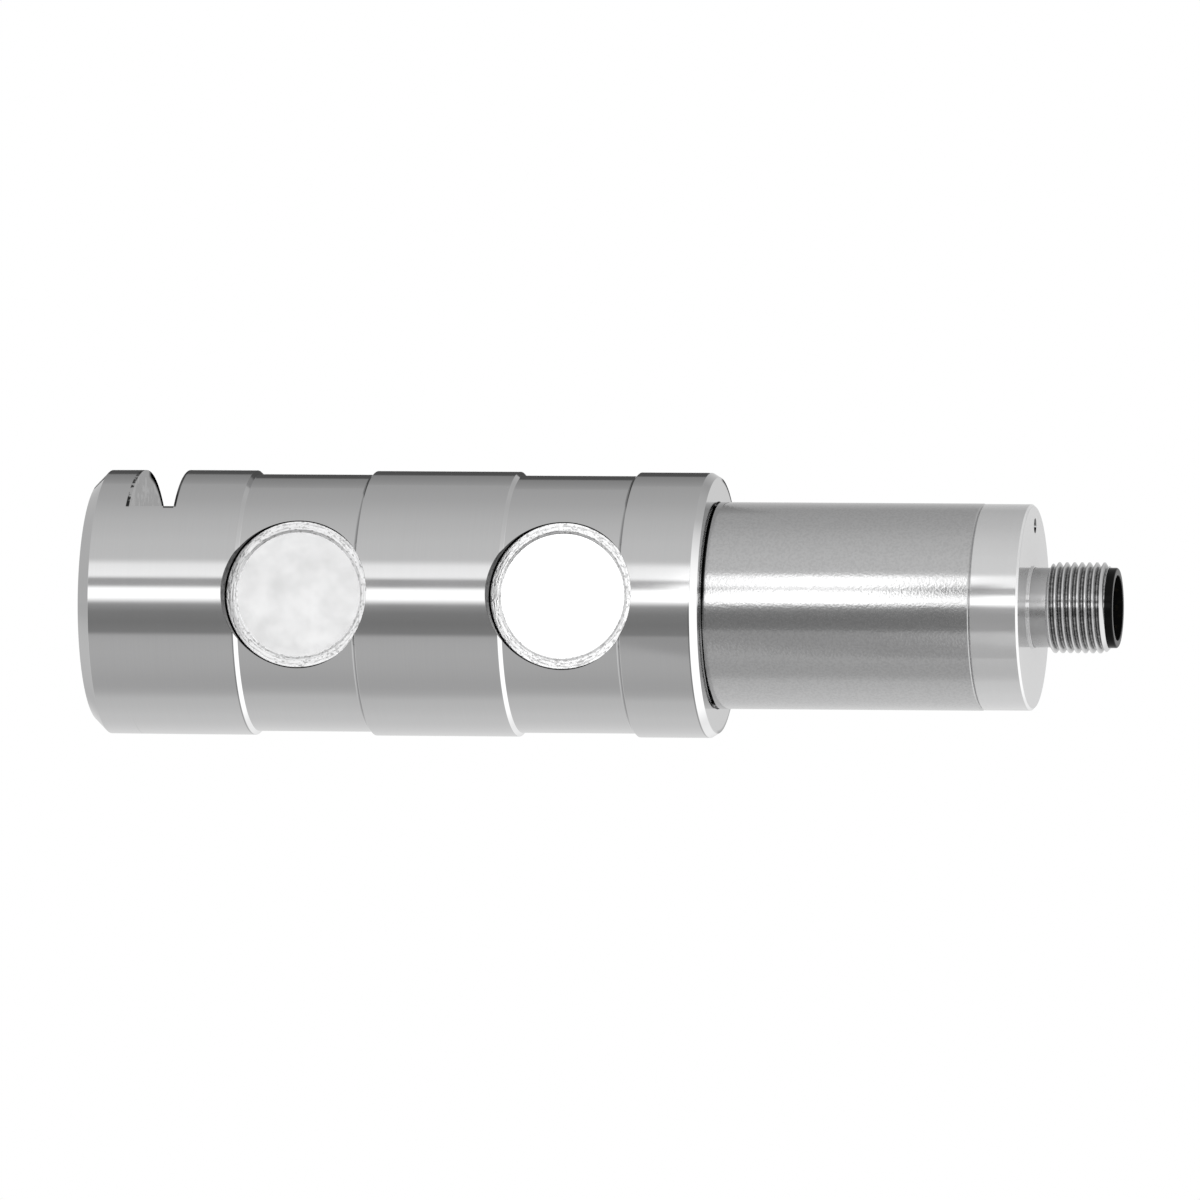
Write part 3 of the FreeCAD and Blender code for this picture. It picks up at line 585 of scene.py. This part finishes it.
coverLook = dict(
    cloud=420, patches=160, grain=5000, grainStrength=0.15, grainHeight=0.003,
    ringTone=0.8, ringRougher=0.12, weldShadeTone=0.36, rimShadeTone=0.012,
    # The left cover's darker base is painted shade: a shaded copy of the right cover's steel
    left=dict(base=0.62, roughness=(0.16, 0.24), patch=0.12),
    right=dict(base=0.95, roughness=(0.12, 0.18), patch=0.03),
)


# Cover steel: a bright disc inside a welded ring, with grey lines of painted shade along the ring and
# painted shade in the sunken rim
def coverSteel(name, base, roughness, patch):
    look = coverLook
    finish = Finish(name)
    finish.set(Metallic=1.0)
    ring = finish.mark("ring")
    rougher = finish.calc("MULTIPLY", ring, look["ringRougher"])
    finish.rough(finish.noise(look["cloud"], 4), roughness, rougher)
    finish.tint(finish.noise(look["patches"]), base - patch, base)
    finish.paint(look["ringTone"], ring)
    # Painted shade along the weld's ripples, in grey lines and specks
    finish.paint(look["weldShadeTone"], finish.mark("weld"))
    # Painted shade in the sunken rim beside the pocket's wall
    finish.paint(look["rimShadeTone"], finish.mark("rim"))
    finish.bump(finish.noise(look["grain"]), look["grainStrength"], look["grainHeight"] * mm)
    return finish.material


connectorLook = dict(
    dark=0.7, light=0.76, roughness=(0.06, 0.1), cloud=400,
    neckShadeTone=0.5, neckRougher=0.2, neckFade=0.1,
    valleyShadeTone=0.2, valleyShadeNoise=2600, valleyShadeLeast=0.55, valleyShadeFade=(0.35, 0.6),
)


# Connector metal: bright on the crests, painted shade in the thread's valleys broken up by noise, satin
# with painted shade on the neck
def connectorMetal():
    look = connectorLook
    finish = Finish("connectorMetal")
    finish.set(Metallic=1.0)
    cloud = finish.noise(look["cloud"])
    across = finish.places()[0]
    neck = finish.spread(across, 1, 0, shell["neckEnd"], shell["neckEnd"] + look["neckFade"])
    finish.rough(cloud, look["roughness"], finish.calc("MULTIPLY", neck, look["neckRougher"]))
    finish.tint(cloud, look["dark"], look["light"])
    # Painted shade on the neck, where the highlights it mirrors are dimmed
    finish.paint(look["neckShadeTone"], neck)
    # Painted shade in the thread's valleys, uneven by noise
    valleyShadeNoise = finish.rise(finish.noise(look["valleyShadeNoise"]), *look["valleyShadeFade"], look["valleyShadeLeast"])
    finish.paint(look["valleyShadeTone"], finish.mark("valley"), valleyShadeNoise)
    return finish.material


# A plain skin: cloudy noise varies its colour and roughness, and lifts it a little where asked
def plainFinish(name, dark, light, roughness, scale=800, metallic=0.0, ior=1.5, lift=0.005):
    finish = Finish(name)
    finish.set(Metallic=metallic, IOR=ior)
    cloud = finish.noise(scale)
    finish.rough(cloud, roughness)
    finish.tint(cloud, dark, light)
    if lift:
        finish.bump(cloud, 0.1, lift * mm)
    return finish.material


# Sizes of the pin, the housing and the connector, shared with the marks on their finishes
pin = dict(
    leftEnd=-46.95, radius=17.5, endRadius=17.45, endChamfer=1.65,
    grooveDepth=0.5, grooveRamp=0.5, grooveInner=9.55, grooveOuter=25.85,
    shoulder=36.15, chamferLength=0.95, chamferDrop=0.58,
    reliefFloor=35.15, reliefRadius=13.7, spigotRadius=12.47, spigotEnd=43.15,
    centreMouth=2.1, centrePilot=1.0, centreCone=1.9, centreDepth=4.5,
    slotLeft=-40.85, slotRight=-34.85, slotFloor=11.65,
    pocketPlace=17.7, pocketRadius=9.75, cavityRadius=7.8, seat=12.6, halfWeb=3.0,
    edge=0.06, fine=0.02, mouthFillet=0.03, rampFillet=0.15, rootFillet=0.1,
    beyond=20, pocketTop=19.0, columns=288, pocketColumns=192, longest=3.0,
)

housing = dict(
    root=35.15, rootRadius=13.15, rootEnd=36.5, seam=71.75, radius=13.65, bore=12.5,
    seamChamfer=0.2, capRadius=13.6, capFace=78.25, capChamfer=0.3, capInner=66.75,
    capSpigot=12.47, cavity=9.0, cavityFloor=73.75, neckHole=5.28,
    seatRing=5.5, seatHeight=0.25, dimpleRadius=1.0, dimpleDepth=0.6, dimpleCircle=10.8,
    fine=0.02, small=0.03, edge=0.05, ringEdge=0.06, spigotEdge=0.1, dimpleFillet=0.3,
    columns=256, dimpleColumns=48, longest=3.0,
)

shell = dict(
    flangeRear=71.75, flangeFront=73.75, flangeRadius=8.6, neckRadius=5.25, neckEnd=80.6,
    threadEnd=88.45, crest=6.0, root=5.39, pitch=1.0, phase=0.053,
    chamfer=0.4, frontChamfer=0.6, bore=4.9, crestFlat=0.14, rootFlat=0.18,
    fillet=0.1, lipFillet=0.05, bulge=0.15, valleyShadeGain=1.25, valleyShadeLoss=0.1,
    columns=192, rows=220, gap=0.01,
)

finishes = {
    "ground_steel": groundSteel(),
    "turned_steel": turnedSteel(),
    "cap_steel": capSteel(),
    "connector_metal": connectorMetal(),
    "black_insulator": plainFinish("blackInsulator", (0.004,) * 3, (0.008,) * 3, (0.08, 0.14), 900,
                                   ior=1.13, lift=0),
    "gold_contact": plainFinish("goldContact", (0.8, 0.6, 0.25), (0.86, 0.68, 0.32), (0.15, 0.22), 1500,
                                metallic=1.0, lift=0),
    "seal_rubber": plainFinish("sealRubber", (0.012,) * 3, (0.02,) * 3, (0.5, 0.65)),
    "circuit_board": plainFinish("circuitBoard", (0.03, 0.2, 0.08), (0.05, 0.27, 0.11), (0.3, 0.4)),
    "gauge_foil": plainFinish("gaugeFoil", (0.6, 0.4, 0.18), (0.75, 0.53, 0.27), (0.4, 0.5)),
    "lead_jacket": plainFinish("leadJacket", (0.7, 0.7, 0.66), (0.78, 0.78, 0.74), (0.35, 0.45)),
    "black_package": plainFinish("blackPackage", (0.015,) * 3, (0.025,) * 3, (0.45, 0.6)),
    "trimmer_blue": plainFinish("trimmerBlue", (0.03, 0.1, 0.36), (0.05, 0.15, 0.45), (0.3, 0.4)),
    "capacitor_can": plainFinish("capacitorCan", (0.66, 0.66, 0.67), (0.74, 0.74, 0.75), (0.25, 0.35),
                                 600, 1.0),
}
print("materials made")


# Pin: the radius as a function of the place along X, turned about X. Four stepped pockets are
# turned about lines along Y and cut out, and so is a block for the keeper slot.
def makePin():
    p = pin
    e, r, g = p["edge"], p["radius"], p["radius"] - p["grooveDepth"]
    left, endRadius = p["leftEnd"], p["endRadius"]
    fine, bend, root, top = p["fine"], p["rampFillet"], p["rootFillet"], p["pocketTop"]
    inner, outer, ramp = p["grooveInner"], p["grooveOuter"], p["grooveRamp"]
    grooves = [[(start, r, e), (start + ramp, g, bend), (stop - ramp, g, bend), (stop, r, e)]
               for start, stop in ((-outer, -inner), (inner, outer))]
    profile = divided(roundedProfile([
        (left + p["centreDepth"], 0),
        (left + p["centreDepth"], p["centrePilot"], fine),
        (left + p["centreCone"], p["centrePilot"], fine),
        (left, p["centreMouth"], p["mouthFillet"]),
        (left, endRadius - p["endChamfer"], e),
        (left + p["endChamfer"], endRadius, e),
        (p["slotRight"], r, e),
        *grooves[0],
        *grooves[1],
        (p["shoulder"] - p["chamferLength"], r, e),
        (p["shoulder"], r - p["chamferDrop"], e),
        (p["shoulder"], p["reliefRadius"], e),
        (p["reliefFloor"], p["reliefRadius"], root),
        (p["reliefFloor"], p["spigotRadius"], root),
        (p["spigotEnd"], p["spigotRadius"], root),
        (p["spigotEnd"], 0),
    ]), p["longest"])
    body = turned("pinBody", profile, p["columns"])
    pocket = roundedProfile([
        (p["halfWeb"], 0), (p["halfWeb"], p["cavityRadius"], fine),
        (p["seat"], p["cavityRadius"], fine), (p["seat"], p["pocketRadius"], fine),
        (top, p["pocketRadius"], fine), (top, 0),
    ])
    cutters = []
    for end in (-1, 1):
        for side, carry in ((-1, alongMinusY), (1, alongPlusY)):
            place = (end * p["pocketPlace"], 0, 0)
            cutter = turned(f"pocket{end}{side}", pocket, p["pocketColumns"], carry=carry, offset=place)
            cutters.append((cutter, (pocket, carry, place, -1)))
    slot = block("slot", (p["slotLeft"], -p["beyond"], p["slotFloor"]),
                 (p["slotRight"], p["beyond"], p["beyond"]))
    cutters.append((slot, None))
    carve(body, (profile, np.eye(3), (0, 0, 0), 1), cutters)
    finishPiece(body, "ground_steel", "pin_body")


makePin()

cover = dict(
    place=17.7, back=12.6, thickness=1.2, radius=9.72, discRadius=8.2,
    weldOuter=9.62, weldHeight=0.14, weldStep=0.3, rimDrop=0.2, ripple=0.012, seed=11,
    columns=1008, rings=27, discRings=(7.9, 7.4, 6, 4, 2, 0), gap=0.03,
    wander=(0.05, 0.03), waves=(3, 7), lineShares=(0.14, 0.42, 0.74), lineWidth=0.07,
    lineReach=6, lineGain=(5, 2.1), speckReach=3, speckRows=3, speckGain=(6, 3.5), most=0.8,
)


# Numbers between 0 and 1 on a grid that closes round its columns: seeded noise, averaged over
# a few neighbours along the row
def smearedNoise(seed, rows, columns, reach):
    values = np.random.default_rng(seed).random((rows, columns))
    kernel = np.exp(-(np.arange(-3 * reach, 3 * reach + 1) / reach) ** 2)
    wide = np.concatenate([values[:, -3 * reach:], values, values[:, :3 * reach]], axis=1)
    smooth = np.stack([np.convolve(row, kernel / kernel.sum(), "valid") for row in wide])
    low, high = smooth.min(), smooth.max()
    return (smooth - low) / (high - low)


# Flat disc, then a welded ring that rises in a short step and stays level, and a sunken rim beside the
# pocket's wall that gets painted shade. Grey lines of painted shade run along the ring over its small
# dips: narrow peaks at three radii that wander with the angle and break up where the noise is low.
def makeCovers():
    c = cover
    top = c["back"] + c["thickness"]
    rings, columns, gap = c["rings"], c["columns"], c["gap"]
    weldOuter, discRadius = c["weldOuter"], c["discRadius"]
    angles = evenAngles(columns)
    ringRadius = np.linspace(weldOuter, discRadius, rings)
    inner = np.array([discRadius - gap, *c["discRings"]])
    share = (ringRadius - discRadius) / (weldOuter - discRadius)
    shape = (rings, columns)
    (wide, narrow), (few, many) = c["wander"], c["waves"]
    for end, endName in ((-1, "left"), (1, "right")):
        for side, (carry, sideName) in enumerate(((alongMinusY, "front"), (alongPlusY, "rear"))):
            seed = c["seed"] + 10 * side + end
            wander = wide * np.sin(few * angles + seed) + narrow * np.sin(many * angles + 2 * seed)
            cloud = smearedNoise(seed, *shape, c["lineReach"])
            speck = smearedNoise(seed + 5, rings // c["speckRows"], columns, c["speckReach"])
            speck = np.repeat(speck, c["speckRows"], axis=0)
            lines = np.zeros(shape)
            for number, middle in enumerate(c["lineShares"]):
                away = share[:, None] - middle - wander * (1 + number % 2)
                lines += np.exp(-(away / c["lineWidth"]) ** 2)
            gain, loss = c["lineGain"]
            lines = np.clip(lines * np.clip(cloud * gain - loss, 0, 1), 0, 1) * c["most"]
            gain, loss = c["speckGain"]
            lines = np.maximum(lines, np.clip(speck * gain - loss, 0, 1) * c["most"])
            step = np.clip(share / c["weldStep"], 0, 1)[:, None]
            rise = step * step * (3 - 2 * step)
            weld = top + rise * (c["weldHeight"] - c["ripple"] * (lines + cloud))
            weldTop = top + c["weldHeight"]
            rimHeight = weldTop - c["rimDrop"]
            outer = np.array([[c["back"], 0], [c["back"], c["radius"]], [rimHeight, c["radius"]],
                              [rimHeight, weldOuter + gap],
                              [weldTop - gap, weldOuter + 2 * gap / 3]])
            radius = np.concatenate([outer[:, 1], ringRadius, inner])
            height = np.concatenate([np.repeat(outer[:, :1], columns, axis=1), weld,
                                     np.full((len(inner), columns), top)])
            grid = gridPoints(height, radius[:, None], angles)
            normals = slopeNormals(grid)
            normals[0], normals[1] = (-1, 0, 0), (-1, 0, 0)
            normals[-len(c["discRings"]):] = (1, 0, 0)
            grid, normals = grid @ carry.T, normals @ carry.T
            grid = grid + np.array([end * c["place"], 0, 0])

            def rows(rim, ring, disc):
                parts = ((rim, len(outer)), (ring, rings), (disc, len(inner)))
                return np.concatenate([
                    np.broadcast_to(value, (count, columns)) for value, count in parts])

            marks = {"rim": rows(1, 0, 0), "ring": rows(0, 1, 0), "weld": rows(0, lines, 0)}
            name = f"{sideName}Cover{endName.capitalize()}"
            piece = meshFromGrid(name, grid, normals, True, True, marks=marks)
            finishPiece(piece, "cover_steel", f"{sideName}_cover_{endName}", coverFinish[endName])


coverFinish = {
    side: coverSteel(f"coverSteel{side.capitalize()}", **coverLook[side]) for side in ("left", "right")
}
makeCovers()


# Tube and cap: two closed profiles turned about X. The dimple is a small turned piece cut out
# of the cap's face.
def makeHousing():
    h = housing
    fine, small, edge = h["fine"], h["small"], h["edge"]
    seam, face, radius, capRadius = h["seam"], h["capFace"], h["radius"], h["capRadius"]
    bevel, chamfer, ringTop = h["seamChamfer"], h["capChamfer"], h["capFace"] + h["seatHeight"]
    tube = divided(roundedProfile([
        (h["root"], h["bore"], fine), (h["root"], h["rootRadius"], fine),
        (h["rootEnd"], h["rootRadius"], edge), (h["rootEnd"], radius, edge),
        (seam - bevel, radius, small), (seam, radius - bevel, fine), (seam, h["bore"], fine),
    ], loop=True), h["longest"])
    piece = turned("housingTube", tube, h["columns"], loop=True)
    finishPiece(piece, "turned_steel", "housing_tube")
    cap = divided(roundedProfile([
        (h["capInner"], h["cavity"], fine), (h["capInner"], h["capSpigot"], h["spigotEdge"]),
        (seam, h["capSpigot"], fine), (seam, capRadius - bevel, fine), (seam + bevel, capRadius, small),
        (face - chamfer, capRadius, edge), (face, capRadius - chamfer, edge),
        (face, h["seatRing"], small), (ringTop, h["seatRing"], h["ringEdge"]),
        (ringTop, h["neckHole"], small), (h["cavityFloor"], h["neckHole"], small),
        (h["cavityFloor"], h["cavity"], small),
    ], loop=True), h["longest"])
    closed = [np.concatenate([part, part[:1]]) for part in cap]
    piece = turned("endCap", cap, h["columns"], loop=True)
    place = (face, 0, h["dimpleCircle"])
    dimple, depth = h["dimpleRadius"], h["dimpleDepth"]
    hole = roundedProfile([
        (-depth, 0), (-depth, dimple, h["dimpleFillet"]), (dimple, dimple, fine), (dimple, 0)])
    cutter = turned("dimple", hole, h["dimpleColumns"], offset=place)
    carve(piece, (closed, np.eye(3), (0, 0, 0), 1), [(cutter, (hole, np.eye(3), place, -1))])
    finishPiece(piece, "cap_steel", "end_cap")


makeHousing()


# Thread: the radius falls from crest to root as a V with rounded flats, repeated each pitch,
# and the place along the axis lags by one pitch a turn; a cone at each end cuts it down
def makeShell():
    s = shell
    fillet, neck, flange = s["fillet"], s["neckRadius"], s["flangeRadius"]
    crest, bore, end, gap = s["crest"], s["bore"], s["threadEnd"], s["gap"]
    angles = evenAngles(s["columns"])
    rear = roundedProfile([
        (s["flangeRear"], bore), (s["flangeRear"], flange, fillet), (s["flangeFront"], flange, fillet),
        (s["flangeFront"], neck, fillet), (s["neckEnd"], neck)])
    along = np.linspace(s["neckEnd"] + gap, end, s["rows"])
    phase = (along[:, None] / s["pitch"] - angles[None] / (2 * math.pi) + s["phase"]) % 1.0
    away = np.abs(phase - 0.5) * 2
    slope = (away - s["crestFlat"]) / (1 - s["crestFlat"] - s["rootFlat"])
    depth = np.clip(slope, 0, 1)
    depth = depth * (1 - s["bulge"] * np.sin(math.pi * depth))
    thread = crest - (crest - s["root"]) * depth
    startCone = neck + (along - s["neckEnd"]) * (crest - neck) / s["chamfer"]
    endCone = crest - s["frontChamfer"] + (end - along)
    cone = np.minimum(startCone, endCone)[:, None]
    cut = np.maximum(cone, neck)
    # The valley mark says where the painted shade in the thread's valleys goes
    valley = np.clip(slope * s["valleyShadeGain"] - s["valleyShadeLoss"], 0, 1) * (thread < cut)
    thread = np.minimum(thread, cut)
    front = roundedProfile([
        (end, crest - s["frontChamfer"] - 2 * gap), (end, bore, s["lipFillet"]),
        (s["flangeRear"] + gap, bore)])
    rows = [np.repeat(part[0][:, 1:2], len(angles), axis=1) for part in (rear, front)]
    radius = np.concatenate([rows[0], thread, rows[1]])
    places = np.concatenate([rear[0][:, 0], along, front[0][:, 0]])[:, None]
    grid = gridPoints(places, radius, angles)
    normals = slopeNormals(grid)
    for part, start in ((rear, 0), (front, len(radius) - len(rows[1]))):
        tilt = part[1]
        normals[start:start + len(tilt)] = gridPoints(tilt[:, :1], tilt[:, 1:2], angles)
    marks = {"valley": np.concatenate([rows[0] * 0, valley, rows[1] * 0])}
    piece = meshFromGrid("connectorShell", grid, normals, loop=True, marks=marks)
    finishPiece(piece, "connector_metal", "connector_shell")


makeShell()

carrier = dict(
    rear=70.75, sleeve=4.87, collarStart=88.45, front=89.5, collar=5.3, bore=4.3,
    floor=80.9, keyHalf=0.5, keyRadius=3.7, keyRecess=0.6, edge=0.12,
    fine=0.02, rearFillet=0.1, collarFillet=0.05, frontFillet=0.25,
    columns=240, hair=0.01,
    hairAngle=1e-3,  # radians
)


# Contact carrier: a turned profile whose bore radius drops to the coding key's flat top
# where the angle lies within the key's width
def makeCarrier():
    c = carrier
    front, bore, start = c["front"], c["bore"], c["collarStart"]
    keyFront = front - c["keyRecess"]
    wall = math.asin(c["keyHalf"] / bore)
    past = wall + c["hairAngle"]
    keyWalls = math.pi / 2 + np.array([-past, -wall, wall, past])
    angles = np.sort(np.concatenate([evenAngles(c["columns"]), keyWalls]))
    profile = roundedProfile([
        (c["rear"], 0), (c["rear"], c["sleeve"], c["rearFillet"]), (start, c["sleeve"], c["fine"]),
        (start, c["collar"], c["collarFillet"]), (front, c["collar"], c["frontFillet"]),
        (front, bore, c["edge"]), (keyFront, bore), (keyFront - c["hair"], bore),
        (c["floor"], bore, c["rearFillet"]), (c["floor"], 0)])
    points, tilt = profile
    radius = np.repeat(points[:, 1:2], len(angles), axis=1)
    inBore = np.isclose(points[:, 1], bore) & (points[:, 0] < keyFront - c["hair"] / 2)
    off = np.abs(angles - math.pi / 2)
    onKey = off < wall + c["hairAngle"] / 2
    radius[np.ix_(inBore, onKey)] = c["keyRadius"] / np.cos(off[onKey])
    grid = gridPoints(points[:, :1], radius, angles)
    normals = gridPoints(tilt[:, :1], tilt[:, 1:2], angles)
    piece = meshFromGrid("contactCarrier", grid, normals, True, True)
    finishPiece(piece, "black_insulator", "connector_insert")


makeCarrier()

contact = dict(
    rear=68.25, cup=70.75, front=88.2, radius=0.5, cupRadius=0.7, side=1.9445, point=0.3,
    cupFillet=0.05, neckFillet=0.02, shoulderFillet=0.1, tipFillet=0.12, columns=40,
)


# Contacts: one turned profile, carried to the middle and to the corners of a square
def makeContacts():
    c = contact
    rear, cup, front, fillet = c["rear"], c["cup"], c["front"], c["cupFillet"]
    profile = roundedProfile([
        (rear, 0), (rear, c["cupRadius"], fillet), (cup, c["cupRadius"], fillet),
        (cup, c["radius"], c["neckFillet"]), (front - c["point"], c["radius"], c["shoulderFillet"]),
        (front, c["radius"] / 2, c["tipFillet"]), (front, 0)])
    spots = [(0, 0)] + [(y * c["side"], z * c["side"]) for z in (1, -1) for y in (-1, 1)]
    for number, (y, z) in enumerate(spots, start=1):
        piece = turned(f"contact{number}", profile, c["columns"], offset=(0, y, z))
        finishPiece(piece, "gold_contact", f"contact_pin_{number}")


makeContacts()

# The sealed inner nodes keep their own shapes and get the finish of their slot
for part in frame["record"]["subparts"]:
    node = nodes[part["node"]]
    if not node.hide_render:
        node.data.materials.clear()
        node.data.materials.append(finishes[part["material_slot"]])
print("pieces made")

# What the polished pin mirrors, by the angle about its axis: 0 in front, 90 above, -90 below.
# The two ends of the studio have bands of their own.
studio = dict(
    radius=1600, columns=96, rows=49,
    bands=[
        (-180, 0.72), (-172, 0.8), (-160, 0.85), (-146, 0.84), (-134, 0.81), (-122, 0.8), (-110, 0.75),
        (-98, 0.71), (-90, 0.58), (-84, 0.54), (-76, 0.54), (-62, 0.58), (-50, 0.6),
        (-40, 0.59), (-34, 0.56), (-31, 0.3), (-22, 0.265), (-13, 0.29), (-6, 0.42), (-1, 1.75), (7, 1.72),
        (10, 0.5), (15.8, 0.5), (17.5, 1.36), (28, 1.25), (33, 0.79), (50, 0.77), (60, 0.73),
        (72, 0.69), (96, 0.57), (132, 0.47), (180, 0.8),
    ],
    rightBands=[
        (-180, 0.75), (-155, 0.85), (-130, 1.1), (6, 1.08), (45, 0.95), (73, 0.8), (88, 0.62),
        (176, 0.62), (180, 0.75),
    ],
    leftBands=[(-180, 0.6), (-160, 0.62), (-140, 0.75), (-90, 1.0), (0, 0.9), (140, 0.62), (180, 0.62)],
    rightStart=(0.3, 0.55), leftStart=(0.35, 0.7),
)


# A large sphere that lights the part and that only its surfaces see, not the camera. Its level
# follows the angle about X and goes over to each end's own bands as the direction leans to it.
def makeStudio():
    s = studio
    angles = evenAngles(s["columns"])
    rows = np.linspace(-math.pi / 2, math.pi / 2, s["rows"])[:, None]
    grid = gridPoints(np.sin(rows), np.cos(rows), angles)
    sphere = meshFromGrid("studioSphere", grid * s["radius"], -grid, True, True)
    sphere.visible_camera = False
    sphere.visible_shadow = False
    light = Finish("studioLight")
    unit = light.add("ShaderNodeVectorMath", operation="NORMALIZE")
    light.join(light.coordinates, unit.inputs[0])
    parts = light.add("ShaderNodeSeparateXYZ")
    light.join(unit.outputs[0], parts.inputs[0])
    x, y, z = parts.outputs
    angle = light.calc("ARCTAN2", z, light.calc("MULTIPLY", y, -1.0))
    turn = light.calc("ADD", light.calc("DIVIDE", angle, 2 * math.pi), 0.5)

    def bands(stops):
        return light.ramp(turn, [((degrees + 180) / 360, level) for degrees, level in stops])

    level = bands(s["bands"])
    for share, name in ((x, "right"), (light.calc("MULTIPLY", x, -1.0), "left")):
        level = light.spread(share, level, bands(s[f"{name}Bands"]), *s[f"{name}Start"], "SMOOTHSTEP")
    light.glow(level)
    sphere.data.materials.append(light.material)


makeStudio()

cards = dict(
    darkCard=dict(
        left=-72, right=24, place=60, low=27, high=125,
        levels=[(27, 0.08), (58, 0.1), (63, 0.29), (125, 0.46)]),
    whiteCard=dict(
        left=-16.5, right=18.5, place=-300, low=-16, high=176,
        levels=[(-16, 1.2), (-6, 2.3), (60, 2.3), (76, 1.1), (92, 2.3), (150, 2.2), (176, 1.0)]),
    greyCard=dict(
        left=-30, right=16, place=-260, low=-520, high=-160,
        levels=[(-520, 0.44), (-160, 0.44)]),
    capCard=dict(
        left=18.7, right=26.5, place=-300, low=-600, high=150,
        levels=[(-600, 0.76), (-420, 0.82), (-300, 0.78), (-215, 0.66), (-187, 0.5), (-170, 0.33),
                (-134, 0.31), (-86, 0.27), (-42, 0.28), (-20, 0.34), (-8, 1.7), (22, 1.7), (32, 0.8),
                (42, 0.45), (60, 0.2), (95, 0.2), (118, 1.1), (133, 1.25), (150, 1.2)]),
)


# Cards that only the metal sees: a dark one behind the pin for the line along its top, a white
# and a grey one in front for the tube, and one for the cap. Their levels change with the height.
def makeCards():
    for name, c in cards.items():
        left, right, low, high = c["left"], c["right"], c["low"], c["high"]
        corners = [(x, c["place"], z) for x, z in ((left, low), (right, low), (right, high), (left, high))]
        mesh = bpy.data.meshes.new(name)
        mesh.from_pydata((np.array(corners) * mm).tolist(), [], [(0, 1, 2, 3)])
        piece = linked(name, mesh)
        light = Finish(name)
        height = light.places()[2]
        span = high - low
        share = light.rise(height, low, high)
        stops = [((place - low) / span, level) for place, level in c["levels"]]
        light.glow(light.ramp(share, stops))
        mesh.materials.append(light.material)
        for kind in ("camera", "diffuse", "transmission", "volume_scatter", "shadow"):
            setattr(piece, f"visible_{kind}", False)


makeCards()

floor = dict(
    height=-300, radius=550, fade=(520, 300), middle=20, columns=128,
    cloud=40, dark=0.882, light=0.9, roughness=0.9,
)


# Pale round floor under the part, fading out towards its rim
def makeFloor():
    f = floor
    mesh = bpy.data.meshes.new("paleFloor")
    turn = evenAngles(f["columns"])
    points = np.stack([f["radius"] * np.cos(turn) + f["middle"], f["radius"] * np.sin(turn),
                       np.full(f["columns"], f["height"])], axis=-1)
    mesh.from_pydata((points * mm).tolist(), [], [list(range(f["columns"]))])
    piece = linked("paleFloor", mesh)
    piece.visible_glossy = False
    finish = Finish("paleFloor")
    finish.set(Roughness=f["roughness"])
    finish.tint(finish.noise(f["cloud"], 2, 0.5), (f["dark"],) * 3, (f["light"],) * 3)
    across, depth, _ = finish.places()
    finish.join(finish.rise(finish.distance(across, depth), *f["fade"]), finish.shader.inputs["Alpha"])
    mesh.materials.append(finish.material)


makeFloor()

world = bpy.data.worlds.new("studioWorld")
bpy.context.scene.world = world
world.use_nodes = True
world.node_tree.nodes["Background"].inputs["Color"].default_value = (1, 1, 1, 1)
world.node_tree.nodes["Background"].inputs["Strength"].default_value = 1.0
print("studio made")

# The camera stands at the photograph's angle; its lens and distance give the photograph's frame
camera = dict(
    azimuth=10.06, elevation=-4.50, roll=1.16, distance=3296.0, scale=7.57,
    aim=20.47, aside=-0.21, above=0.62, sensor=36.0, picture=1200, clip=(100, 20000),
)


# It stands back from its aim by the distance, along the azimuth and the elevation, and rolls
# about that line. Focal length over sensor is scale times distance over the picture's width.
def makeCamera():
    c = camera
    a, e, r = (math.radians(c[name]) for name in ("azimuth", "elevation", "roll"))
    back = Vector((math.sin(a) * math.cos(e), -math.cos(a) * math.cos(e), math.sin(e)))
    level = Vector((math.cos(a), math.sin(a), 0))
    upright = back.cross(level)
    right = math.cos(r) * level + math.sin(r) * upright
    up = math.cos(r) * upright - math.sin(r) * level
    aim = Vector((c["aim"], 0, 0)) + c["aside"] * right + c["above"] * up
    data = bpy.data.cameras.new("photoCamera")
    data.sensor_width = c["sensor"]
    data.lens = c["scale"] * c["distance"] * c["sensor"] / c["picture"]
    data.clip_start, data.clip_end = (place * mm for place in c["clip"])
    piece = linked("photoCamera", data)
    turn = Matrix((right, up, back)).transposed().to_4x4()
    piece.matrix_world = Matrix.Translation((aim + back * c["distance"]) * mm) @ turn
    bpy.context.scene.camera = piece


makeCamera()
bpy.context.scene.view_settings.view_transform = "Standard"
